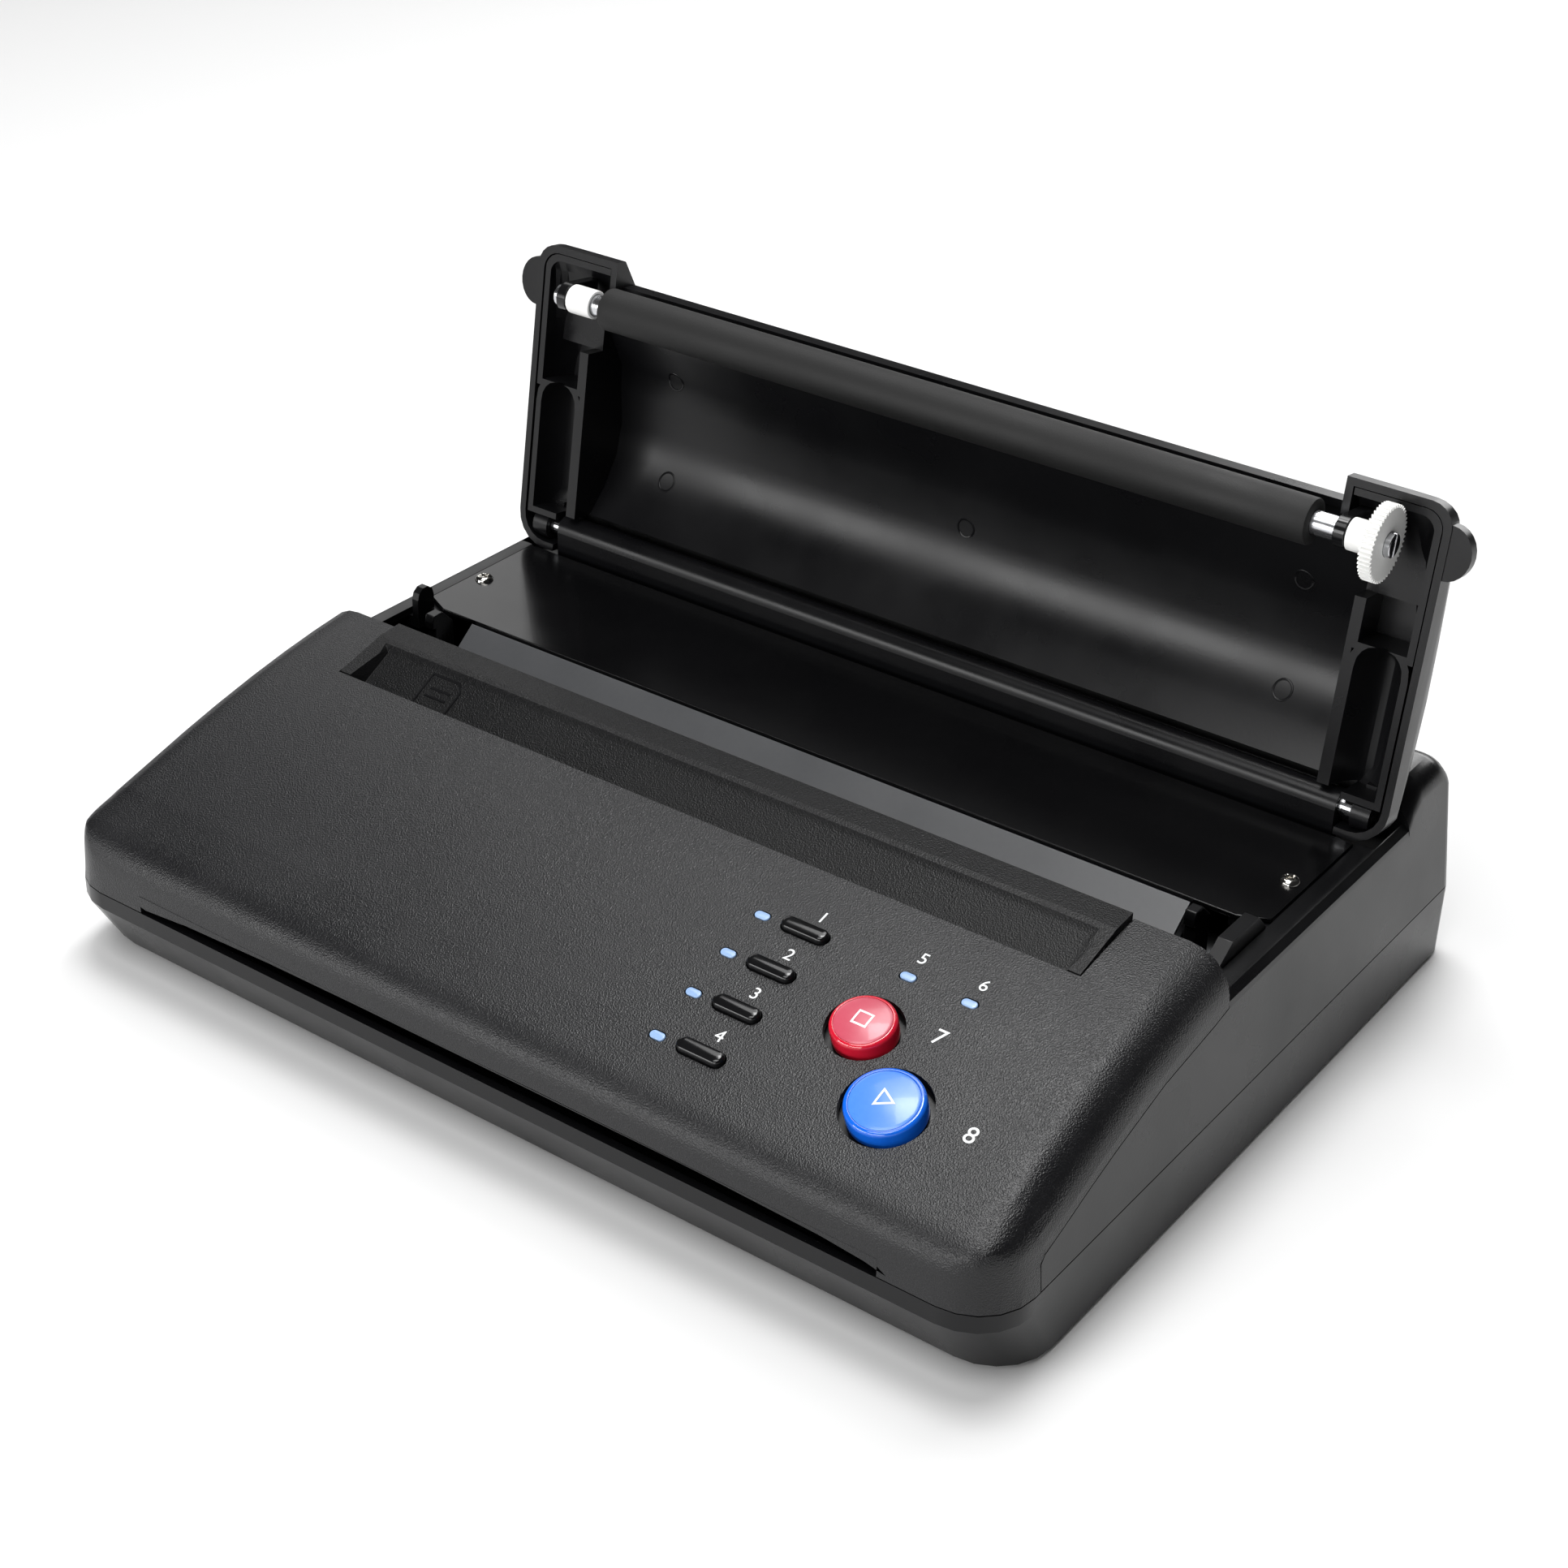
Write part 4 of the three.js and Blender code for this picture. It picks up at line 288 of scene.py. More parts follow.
# Clear acrylic tinted red, with a painted glow: emission brightens the rim, though the cap is no lamp
RED_RIM = Finish("acrylic_tinted_red", "red_cap", "b01022", "c82038", Grain.POLISHED, grain_size=4.0,
                 grain_depth=0.006, roughness=0.09, spread=0.03, ior=1.49, coat=0.5, painted_glow=0.1,
                 gloss=0.5)
# The red cap's face, frosted from behind: paler and softer
RED_FACE = Finish("acrylic_frosted_red", "red_cap", "b03c4e", "bc5062", Grain.SATIN, grain_size=1.0,
                  grain_depth=0.004, roughness=0.3, spread=0.04, ior=1.49, coat=0.2, gloss=0.5)
# Clear acrylic tinted blue, with a painted glow: emission brightens the rim, though the cap is no lamp
BLUE_RIM = Finish("acrylic_tinted_blue", "blue_cap", "0a52bc", "1866d4", Grain.POLISHED,
                  grain_size=4.0, grain_depth=0.006, roughness=0.09, spread=0.03, ior=1.49, coat=0.5,
                  painted_glow=0.14, gloss=0.5)
# The blue cap's face, frosted from behind
BLUE_FACE = Finish("acrylic_frosted_blue", "blue_cap", "3c76d0", "4e86dc", Grain.SATIN, grain_size=1.0,
                   grain_depth=0.004, roughness=0.3, spread=0.04, ior=1.49, coat=0.2, gloss=0.5)


class Workshop:
    """Makes meshes and hangs them on the frame's bodies, with one material per finish."""

    def __init__(self) -> None:
        """Starts with no materials made."""
        self.materials: dict[str, bpy.types.Material] = {}

    def material(self, finish: Finish) -> bpy.types.Material:
        """The material of a finish, made on first use."""
        if finish.name not in self.materials:
            self.materials[finish.name] = finish.build()
        return self.materials[finish.name]

    def add(self, name: str, mesh: bpy.types.Mesh, finish: Finish, body: str,
            replaced: Sequence[str] = ()) -> bpy.types.Object:
        """Puts a mesh into the scene as one piece of the object.

        Args:
            name: the piece's name.
            mesh: its mesh, in the shared frame.
            finish: its finish.
            body: the body that it rides on.
            replaced: the CAD nodes that it stands for.

        Returns:
            The piece.
        """
        piece = bpy.data.objects.new(name, mesh)
        bpy.context.scene.collection.objects.link(piece)
        mesh.materials.clear()
        mesh.materials.append(self.material(finish))
        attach(piece, body)
        if replaced:
            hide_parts(*replaced)
        log.info("%s on %s: %d faces", name, body, len(mesh.polygons))
        return piece


def mesh_of(name: str, points: np.ndarray, faces: np.ndarray | list,
            smooth: bool = True) -> bpy.types.Mesh:
    """A mesh from points in metres and faces by point number.

    Args:
        name: the mesh's name.
        points: n by 3 array.
        faces: rows of point numbers.
        smooth: whether the faces are shaded as one curved surface.

    Returns:
        The mesh.
    """
    mesh = bpy.data.meshes.new(name)
    rows = faces.tolist() if isinstance(faces, np.ndarray) else faces
    mesh.from_pydata(np.asarray(points, float).reshape(-1, 3).tolist(), [], rows)
    mesh.polygons.foreach_set("use_smooth", np.full(len(mesh.polygons), smooth))
    mesh.update()
    return mesh


def grid_faces(rows: int, columns: int, close_rows: bool = False,
               close_columns: bool = False) -> np.ndarray:
    """Faces of a grid of points numbered row by row.

    Face (i, j) joins points (i, j), (i, j+1), (i+1, j+1) and (i+1, j); a closed direction wraps round.

    Args:
        rows: points down the grid.
        columns: points across it.
        close_rows: whether the last row joins the first.
        close_columns: whether the last column joins the first.

    Returns:
        Array of four point numbers per face.
    """
    i = np.arange(rows if close_rows else rows - 1)[:, None]
    j = np.arange(columns if close_columns else columns - 1)[None, :]
    down, across = (i + 1) % rows, (j + 1) % columns
    quads = [i * columns + j, i * columns + across, down * columns + across, down * columns + j]
    return np.stack(np.broadcast_arrays(*quads), -1).reshape(-1, 4)


def turned(profile: Sequence[tuple[float, float]], steps: int) -> np.ndarray:
    """Rings of a turned shape about the Z axis.

    Point (i, j) is radius_i * cos(t_j), radius_i * sin(t_j), height_i with t_j = 2 pi j / steps.

    Args:
        profile: radius and height of each ring.
        steps: points round each ring.

    Returns:
        Array of rings by steps by 3.
    """
    radius, height = np.array(profile, float).T
    t = np.linspace(0, 2 * np.pi, steps, endpoint=False)
    x = radius[:, None] * np.cos(t)
    y = radius[:, None] * np.sin(t)
    return np.stack([x, y, np.broadcast_to(height[:, None], x.shape)], -1)


def along_x(points: np.ndarray, start: float, centre: tuple[float, float]) -> np.ndarray:
    """A shape turned about Z, laid along X: its Z runs along X from start, round a centre (y, z)."""
    x, y, z = points[..., 2] + start, points[..., 0] + centre[0], points[..., 1] + centre[1]
    return np.stack([x, y, z], -1)


def cleaned(mesh: bpy.types.Mesh) -> bpy.types.Mesh:
    """Merges doubled points, turns the faces outwards and returns the mesh."""
    work = bmesh.new()
    work.from_mesh(mesh)
    bmesh.ops.remove_doubles(work, verts=work.verts, dist=SAME_POINT)
    bmesh.ops.recalc_face_normals(work, faces=work.faces)
    work.to_mesh(mesh)
    work.free()
    mesh.update()
    return mesh


@dataclass(frozen=True)
class CornerBlend:
    """Blends the crease where the cover's round front corners meet its sloping top.

    Lengths are millimetres in the case's frame. The heart is a point inside the case that the outer
    skin faces away from.
    """

    inner: float = 119.0
    outer: float = 141.0
    front_cut: float = 0.6
    rear: float = 16.6
    low: float = 0.9
    low_cut: float = 2.0
    high: float = 26.0
    pitch: float = 1.1
    rounds: int = 40
    step: float = 0.5
    heart_across: float = 105.0
    heart_depth: float = 34.0

    def holds(self, point: Vector, side: int) -> bool:
        """Whether a point of the shared frame lies in one corner's box."""
        x, y, z = (v / MM for v in point)
        y, z = y - CASE_SHIFT[1], z - CASE_SHIFT[2]
        return side * x > self.inner and y < self.rear and self.low < z < self.high

    def apply(self, work: bmesh.types.BMesh) -> None:
        """Cuts the corner's skin into a fine grid, then evens it out.

        In each round every outer point moves half way to the mean of its neighbours.

        Args:
            work: the cover's mesh.
        """
        for side in (-1, 1):
            cuts = [((side, 0, 0), (side * v, 0, 0))
                    for v in np.arange(self.inner, self.outer, self.pitch)]
            cuts += [((0, 1, 0), (0, v + CASE_SHIFT[1], 0))
                     for v in np.arange(self.front_cut, self.rear, self.pitch)]
            cuts += [((0, 0, 1), (0, 0, v + CASE_SHIFT[2]))
                     for v in np.arange(self.low_cut, self.high, self.pitch)]
            for normal, place in cuts:
                near = [face for face in work.faces
                        if any(self.holds(v.co, side) for v in face.verts)]
                edges = {edge for face in near for edge in face.edges}
                verts = {vert for face in near for vert in face.verts}
                bmesh.ops.bisect_plane(work, geom=[*verts, *edges, *near], dist=SAME_POINT,
                                       plane_co=Vector(place) * MM, plane_no=normal)
            work.normal_update()
            heart = Vector((side * self.heart_across, self.heart_depth + CASE_SHIFT[1],
                            CASE_SHIFT[2])) * MM
            skin = [vert for vert in work.verts
                    if self.holds(vert.co, side) and (vert.co - heart).dot(vert.normal) > 0]
            for _ in range(self.rounds):
                bmesh.ops.smooth_vert(work, verts=skin, factor=self.step,
                                      use_axis_x=True, use_axis_y=True, use_axis_z=True)


@dataclass(frozen=True)
class Moulding:
    """A CAD node whose form stays, as a merged copy with rounded edges and its finish."""

    node: str
    piece: str
    body: str
    finish: Finish
    edge: float = 0.25
    blend: CornerBlend | None = None
    flat_degrees: float = 0.08
    crease_degrees: float = 28.0
    bevel_degrees: float = 32.0
    flat_weight: int = 60

    def make(self, shop: Workshop) -> bpy.types.Object:
        """Copies the node, merges its triangles into flats and rounds its sharp edges.

        Args:
            shop: where the piece is added.

        Returns:
            The piece, which replaces the node.
        """
        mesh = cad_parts[self.node].data.copy()
        work = bmesh.new()
        work.from_mesh(mesh)
        bmesh.ops.remove_doubles(work, verts=work.verts, dist=2 * SAME_POINT)
        bmesh.ops.dissolve_limit(work, angle_limit=math.radians(self.flat_degrees),
                                 verts=work.verts, edges=work.edges)
        if self.blend:
            self.blend.apply(work)
        work.to_mesh(mesh)
        work.free()
        mesh.polygons.foreach_set("use_smooth", np.ones(len(mesh.polygons), bool))
        mesh.set_sharp_from_angle(angle=math.radians(self.crease_degrees))
        mesh.update()
        piece = shop.add(self.piece, mesh, self.finish, self.body, (self.node,))
        if self.edge:
            rounding = piece.modifiers.new("rounded_edges", "BEVEL")
            rounding.limit_method = "ANGLE"
            rounding.angle_limit = math.radians(self.bevel_degrees)
            rounding.width = self.edge * MM
            rounding.segments = 2
            rounding.use_clamp_overlap = True
        # Large flats keep their own direction, and only the rounded edges bend
        even = piece.modifiers.new("even_shading", "WEIGHTED_NORMAL")
        even.keep_sharp = True
        even.weight = self.flat_weight
        return piece


MOULDINGS = (
    Moulding("base_tray", "tray_moulding", "base", SATIN_ABS, 0.4),
    Moulding("front_cover", "cover_moulding", "base", PEBBLED_ABS, 0.35, CornerBlend()),
    Moulding("rear_casing", "casing_moulding", "base", SATIN_ABS, 0.35),
    # The trough's floor takes the grained ABS with painted shade in its colour
    Moulding("document_ramp", "ramp_moulding", "base", TROUGH_SHADED_ABS),
    Moulding("feed_plate", "plate_lacquered", "base", LACQUER, 0.2),
    Moulding("hinge_rail", "rail_moulding", "base", SATIN_ABS),
    Moulding("thermal_head_board", "head_glazed_board", "base", GLAZE, 0.15),
    Moulding("thermal_head_sink", "head_heat_sink", "base", ALUMINIUM, 0.15),
    Moulding("gear_bracket", "bracket_moulding", "base", SATIN_ABS),
    Moulding("drive_motor", "motor_can", "base", ZINC),
    Moulding("motor_pinion", "motor_pinion_cut", "pinion_wheel", ZINC, 0.0),
    Moulding("drive_gear", "drive_wheel_cut", "drive_wheel", ACETAL, 0.0),
    Moulding("idler_gear", "idler_wheel_cut", "idler_wheel", ACETAL, 0.0),
    Moulding("latch_shaft", "latch_rod", "latch", STEEL, 0.2),
    Moulding("latch_hook_left", "hook_left_moulding", "latch", SATIN_ABS),
    Moulding("latch_hook_right", "hook_right_moulding", "latch", SATIN_ABS),
    Moulding("key_board", "key_circuit_board", "base", BOARD, 0.1),
    Moulding("sensor_bar", "sensor_housing", "base", ZINC),
    Moulding("document_roller_shaft", "document_shaft_ground", "document_feed", STEEL, 0.2),
    Moulding("document_roller", "document_rubber", "document_feed", RUBBER, 0.2),
    Moulding("document_roller_gear", "document_wheel_cut", "document_feed", ACETAL, 0.0),
    Moulding("document_motor", "document_motor_can", "base", ZINC),
    Moulding("document_motor_pinion", "document_pinion_cut", "document_pinion", ZINC, 0.0),
    Moulding("main_board", "main_circuit_board", "base", BOARD, 0.1),
    Moulding("power_supply", "supply_case", "base", ALUMINIUM),
    Moulding("power_inlet", "inlet_moulding", "base", SATIN_ABS, 0.2),
    Moulding("power_switch_frame", "switch_frame_moulding", "base", SATIN_ABS, 0.2),
    Moulding("power_switch_rocker", "switch_rocker_moulding", "rocker", GLOSS_ABS, 0.3),
    Moulding("lid_outer_shell", "lid_shell_moulding", "lid", SATIN_ABS, 0.35),
    Moulding("lid_inner_frame", "lid_frame_moulding", "lid", SATIN_ABS, 0.25),
    Moulding("bearing_plate_left", "bearing_plate_left_moulding", "lid", GLOSS_ABS, 0.2),
    Moulding("bearing_plate_right", "bearing_plate_right_moulding", "lid", GLOSS_ABS, 0.2),
    Moulding("platen_shaft", "platen_shaft_ground", "platen", STEEL, 0.2),
    Moulding("platen_bush", "platen_bush_moulding", "platen", ACETAL, 0.2),
    Moulding("platen_gear", "platen_wheel_moulding", "platen", ACETAL, 0.12),
)


@dataclass(frozen=True)
class CoverTop:
    """The cover's top line, a quadratic curve from the nose to the rear edge, as the solids have it."""

    nose: float = 9.0
    face: float = 8.0
    rise_degrees: float = 21.1
    knee: float = 49.2
    depth: float = 97.3
    height: float = 40.0

    def at(self, depth: float) -> tuple[float, float]:
        """Height and tilt of the surface at a depth.

        The curve is (1-s)^2 start + 2 s (1-s) knee + s^2 end; s is read off a fine table of depths.

        Args:
            depth: distance behind the front face.

        Returns:
            Height in millimetres and tilt in radians.
        """
        rise = math.radians(self.rise_degrees)
        start = np.array([self.nose * (1 - math.sin(rise)), self.face + self.nose * math.cos(rise)])
        knee = start + self.knee * np.array([1.0, math.tan(rise)])
        end = np.array([self.depth, self.height])
        s = np.linspace(0, 1, 2001)[:, None]
        curve = (1 - s) ** 2 * start + 2 * s * (1 - s) * knee + s ** 2 * end
        run = (1 - s) * (knee - start) + s * (end - knee)
        height = np.interp(depth, curve[:, 0], curve[:, 1])
        slope = np.interp(depth, curve[:, 0], run[:, 1] / run[:, 0])
        return float(height), math.atan(float(slope))

    def lay(self, points: np.ndarray, place: tuple[float, float]) -> np.ndarray:
        """Puts a flat piece's points onto the cover's tangent plane.

        y' = y cos t - z sin t and z' = y sin t + z cos t, moved to the place on the surface.

        Args:
            points: the piece about its own middle, z up from the surface.
            place: x and depth of that middle.

        Returns:
            The points in the case's frame.
        """
        height, tilt = self.at(place[1])
        x, y, z = np.moveaxis(np.asarray(points, float), -1, 0)
        return np.stack([x + place[0], place[1] + y * math.cos(tilt) - z * math.sin(tilt),
                         height + y * math.sin(tilt) + z * math.cos(tilt)], -1)


def oblong(length: float, width: float, rings: Sequence[tuple[float, float]],
           steps: int = 48) -> np.ndarray:
    """Rings of a shape with half-round ends, each drawn in by an inset.

    Point j of a ring is (reach * side(t_j) + r cos t_j, r sin t_j) with r half the width less the
    inset, and side +1 or -1 for the half of the turn that it is in.

    Args:
        length: length over the ends.
        width: width.
        rings: inset and height of each ring.
        steps: points round each ring, a multiple of four.

    Returns:
        Array of rings by steps by 3.
    """
    inset, height = np.array(rings, float).T
    t = (np.arange(steps) + 0.5) / steps * 2 * np.pi
    reach = (length - width) / 2 * np.sign(np.cos(t))
    radius = np.maximum(width / 2 - inset, 0.0)[:, None]
    x = reach + radius * np.cos(t)
    y = radius * np.sin(t)
    return np.stack([x, y, np.broadcast_to(height[:, None], x.shape)], -1)


def rounded_rings(radius: float, inset: float, top: float, count: int = 6) -> list[tuple[float, float]]:
    """Insets and heights of a quarter round that ends flat at the top height."""
    t = np.linspace(0, np.pi / 2, count)
    return [(inset + radius * (1 - math.cos(a)), top - radius + radius * math.sin(a)) for a in t]


def closed_skin(name: str, rings: np.ndarray) -> bpy.types.Mesh:
    """A closed mesh over rings of points, with its first and last ring filled flat.

    Args:
        name: the mesh's name.
        rings: rings by steps by 3, in metres.

    Returns:
        The mesh, its faces outwards.
    """
    rows, steps, _ = rings.shape
    faces = grid_faces(rows, steps, close_columns=True).tolist()
    faces.append(list(range(steps))[::-1])
    faces.append(list(range((rows - 1) * steps, rows * steps)))
    mesh = cleaned(mesh_of(name, rings, faces))
    mesh.set_sharp_from_angle(angle=math.radians(40))
    return mesh


def stroke(points: np.ndarray, width: float, closed: bool = True) -> tuple[np.ndarray, np.ndarray]:
    """A line of even width drawn as a flat band.

    Each corner is moved out and in along its mitre by half the width over the cosine of half the turn.

    Args:
        points: n by 2 corners.
        width: the band's width.
        closed: whether the last corner joins the first.

    Returns:
        Points (2n by 2) and faces of the band.
    """
    corners = np.asarray(points, float)
    ahead = np.roll(corners, -1, 0) - corners
    behind = corners - np.roll(corners, 1, 0)
    if not closed:
        ahead[-1], behind[0] = behind[-1], ahead[0]
    normals = [np.stack([-v[:, 1], v[:, 0]], -1) / np.linalg.norm(v, axis=1, keepdims=True)
               for v in (ahead, behind)]
    mitre = normals[0] + normals[1]
    mitre = mitre / np.sum(mitre * normals[0], axis=1, keepdims=True) * width / 2
    band = np.concatenate([corners + mitre, corners - mitre])
    count = len(corners)
    i = np.arange(count if closed else count - 1)
    following = (i + 1) % count
    return band, np.stack([i, following, following + count, i + count], -1)


def numeral(text: str, height: float) -> tuple[np.ndarray, list[list[int]]]:
    """A plain numeral as a flat mesh about its own middle.

    Args:
        text: the digits.
        height: how tall they stand, in millimetres.

    Returns:
        Points (n by 3, z zero) and faces.
    """
    curve = bpy.data.curves.new("numeral", "FONT")
    curve.body = text
    curve.resolution_u = 6
    holder = bpy.data.objects.new("numeral", curve)
    bpy.context.scene.collection.objects.link(holder)
    flat = bpy.data.meshes.new_from_object(holder.evaluated_get(bpy.context.evaluated_depsgraph_get()))
    points = np.zeros(len(flat.vertices) * 3)
    flat.vertices.foreach_get("co", points)
    points = points.reshape(-1, 3)
    faces = [list(face.vertices) for face in flat.polygons]
    bpy.data.objects.remove(holder)
    bpy.data.curves.remove(curve)
    bpy.data.meshes.remove(flat)
    low, high = points.min(0), points.max(0)
    points = (points - (low + high) / 2) * height / (high[1] - low[1])
    points[:, 2] = 0.0
    return points, faces


def raised(points: np.ndarray, faces: Sequence[Sequence[int]],
           rise: float) -> tuple[np.ndarray, list[list[int]]]:
    """A flat mesh given a thickness: a lower copy, an upper copy and a wall along the open edges.

    Args:
        points: n by 3, flat.
        faces: its faces, seen from above.
        rise: the thickness.

    Returns:
        Points (2n by 3) and faces of the closed solid.
    """
    count = len(points)
    upper = points + np.array([0.0, 0.0, rise])
    edges = {}
    for face in faces:
        for a, b in zip(face, list(face[1:]) + [face[0]]):
            if edges.pop((b, a), None) is None:
                edges[(a, b)] = True
    walls = [[a, b, b + count, a + count] for a, b in edges]
    solid = [list(face)[::-1] for face in faces] + [[v + count for v in face] for face in faces] + walls
    return np.concatenate([points, upper]), solid


def regular_outline(sides: int, radius: float, turn: float, steps: int = 8) -> np.ndarray:
    """Outline of a regular polygon with points along each side, so that it can follow a dome.

    Corner i stands at angle turn + 2 pi i / sides; point j of a side is (1 - j/steps) a + (j/steps) b.

    Args:
        sides: how many sides.
        radius: distance of the corners from the middle.
        turn: angle of the first corner.
        steps: points along each side.

    Returns:
        Array of sides times steps by 2.
    """
    angles = turn + 2 * np.pi * np.arange(sides) / sides
    corners = radius * np.stack([np.cos(angles), np.sin(angles)], -1)
    share = (np.arange(steps) / steps)[None, :, None]
    following = np.roll(corners, -1, 0)
    return ((1 - share) * corners[:, None] + share * following[:, None]).reshape(-1, 2)


@dataclass
class ControlPanel:
    """The keys, lamps, round buttons and their printed marks on the front cover."""

    top: CoverTop
    key_column: float = 51.1
    key_depths: tuple[float, ...] = (56.1, 43.1, 30.4, 17.4)
    key_length: float = 12.6
    key_width: float = 4.0
    key_rise: float = 1.7
    key_rounding: float = 0.9
    key_skirt: float = 0.8
    key_foot: float = -3.7
    stem_radius: float = 1.33
    lamp_places: tuple[tuple[float, float], ...] = (
        (39.3, 55.6), (39.3, 42.7), (39.3, 29.9), (39.3, 16.9), (79.5, 55.9), (95.9, 55.7))
    lamp_length: float = 4.0
    lamp_width: float = 2.2
    stop_place: tuple[float, float] = (79.4, 39.2)
    stop_radius: float = 7.75
    copy_place: tuple[float, float] = (95.9, 23.9)
    copy_radius: float = 9.2
    cap_rise: float = 3.2
    skirt_drop: float = 2.9
    board_drop: float = 7.6
    travel: float = 1.5
    numeral_height: float = 3.3
    ink_rise: float = 0.05
    ink_sunk: float = 0.02
    dome_rise: float = 0.72
    dome_drop: float = 0.75
    window_share: float = 0.86
    stem: float = 2.0
    flange_reach: float = 2.35
    flange_foot: float = -4.2
    rim_foot: float = -2.35
    rim_rounding: tuple[float, float] = (0.9, 1.1)
    mark_radius: float = 2.5
    mark_width: float = 0.5

    def keys(self, shop: Workshop) -> None:
        """Moulds the four oblong keys: rounded crown, neck, skirt behind the cover and stem."""
        stem = self.key_width / 2 - self.stem_radius
        skirt = -self.key_skirt
        rings = [(stem, self.travel - self.board_drop), (stem, self.key_foot), (skirt, self.key_foot),
                 (skirt, -self.skirt_drop), (0.0, -self.skirt_drop),
                 *rounded_rings(self.key_rounding, 0.0, self.key_rise - 0.1), (1.5, self.key_rise)]
        for number, depth in enumerate(self.key_depths, 1):
            points = oblong(self.key_length, self.key_width, rings)
            points = self.top.lay(points, (self.key_column, depth))
            mesh = closed_skin(f"mode_key_cap_{number}", in_frame(points))
            shop.add(f"mode_key_cap_{number}", mesh, GLOSS_ABS, f"key_{number}",
                     (f"mode_key_{number}",))

    def lamps(self, shop: Workshop) -> None:
        """Moulds the six clear lenses: a straight light pipe with a low dome."""
        rings = [(0.0, -5.2), *rounded_rings(0.3, 0.0, 0.2), (0.8, 0.25)]
        for number, place in enumerate(self.lamp_places, 1):
            points = self.top.lay(oblong(self.lamp_length, self.lamp_width, rings), place)
            mesh = closed_skin(f"lamp_lens_{number}", in_frame(points))
            shop.add(f"lamp_lens_{number}", mesh, LENS, "base", (f"led_lens_{number}",))

    def round_button(self, shop: Workshop, name: str, body: str, place: tuple[float, float],
                     radius: float, rim: Finish, face: Finish, mark: np.ndarray) -> None:
        """Moulds one cap on its black carrier: a saturated rim round a frosted, domed face with a mark.

        The face is a dome of height h (1 - (r/R)^2) over its edge.

        Args:
            shop: where the pieces are added.
            name: start of the pieces' names, and of the CAD node's.
            body: the body that they ride on.
            place: x and depth of the middle.
            radius: the cap's radius.
            rim: finish of the rim.
            face: finish of the face.
            mark: outline of the printed mark about the cap's middle, n by 2.
        """
        window = radius * self.window_share
        edge = self.cap_rise - self.dome_drop
        flange, sleeve = radius + self.flange_reach, radius - 0.2
        carrier = [(self.stem, self.travel - self.board_drop), (self.stem, self.flange_foot),
                   (flange, self.flange_foot), (flange, -self.skirt_drop),
                   (sleeve, -self.skirt_drop), (sleeve, self.rim_foot - 0.05)]
        points = self.top.lay(turned(carrier, CAP_STEPS), place)
        shop.add(f"{name}_carrier", closed_skin(f"{name}_carrier", in_frame(points)), SATIN_ABS, body)
        wide, tall = self.rim_rounding
        rim_profile = [(radius - wide, self.rim_foot), (radius - 0.15, self.rim_foot),
                       (radius, self.rim_foot + 0.15), (radius, edge - tall)]
        t = np.linspace(0, math.pi / 2, 8)[1:]
        rim_profile += [(radius - wide * (1 - math.cos(a)), edge - tall + tall * math.sin(a))
                        for a in t]
        rim_profile += [(window + 0.12, edge - 0.02), (window + 0.05, edge - 0.25)]
        points = self.top.lay(turned(rim_profile, CAP_STEPS), place)
        skin = closed_skin(f"{name}_rim", in_frame(points))
        shop.add(f"{name}_rim", skin, rim, body, (f"{name}_button",))
        rings = np.linspace(1.0, 0.02, 12)
        crown = window - 0.1
        dome = [(window, edge - 0.24), (window, edge - 0.06), (crown, edge)]
        dome += [(crown * r, edge + self.dome_rise * (1 - r * r)) for r in rings[1:]]
        points = self.top.lay(turned(dome, CAP_STEPS), place)
        shop.add(f"{name}_face", closed_skin(f"{name}_face", in_frame(points)), face, body)
        flat, faces = stroke(mark, self.mark_width)
        reach = (flat[:, 0] ** 2 + flat[:, 1] ** 2) / crown ** 2
        flat = np.column_stack([flat, edge + self.dome_rise * (1 - reach) - self.ink_sunk])
        solid, faces = raised(flat, faces.tolist(), self.ink_rise + 0.03)
        mesh = cleaned(mesh_of(f"{name}_mark", in_frame(self.top.lay(solid, place)), faces, False))
        shop.add(f"{name}_mark", mesh, INK, body)

    def printed_numerals(self, shop: Workshop) -> None:
        """Prints plain numerals beside the keys, lamps and buttons as one ink layer."""
        marks = [(self.key_column + 1.0, depth + 5.6, self.numeral_height) for depth in self.key_depths]
        marks += [(79.5, 62.0, self.numeral_height), (95.9, 61.7, self.numeral_height),
                  (95.6, 44.6, 4.3), (116.0, 26.2, 4.3)]
        points, faces, count = [], [], 0
        for number, (x, depth, height) in enumerate(marks, 1):
            flat, flat_faces = numeral(str(number), height)
            sunk = flat - np.array([0.0, 0.0, self.ink_sunk])
            solid, solid_faces = raised(sunk, flat_faces, self.ink_rise + self.ink_sunk)
            points.append(self.top.lay(solid, (x, depth)))
            faces += [[v + count for v in face] for face in solid_faces]
            count += len(solid)
        mesh = mesh_of("printed_numerals", in_frame(np.concatenate(points)), faces, False)
        shop.add("printed_numerals", mesh, INK, "base")

    def build(self, shop: Workshop) -> None:
        """Makes and dresses the whole panel."""
        self.keys(shop)
        self.lamps(shop)
        square = regular_outline(4, self.mark_radius, math.pi / 4)
        triangle = regular_outline(3, self.mark_radius, 0.0)
        self.round_button(shop, "stop", "stop", self.stop_place, self.stop_radius,
                          RED_RIM, RED_FACE, square)
        self.round_button(shop, "copy", "copy", self.copy_place, self.copy_radius,
                          BLUE_RIM, BLUE_FACE, triangle)
        self.printed_numerals(shop)


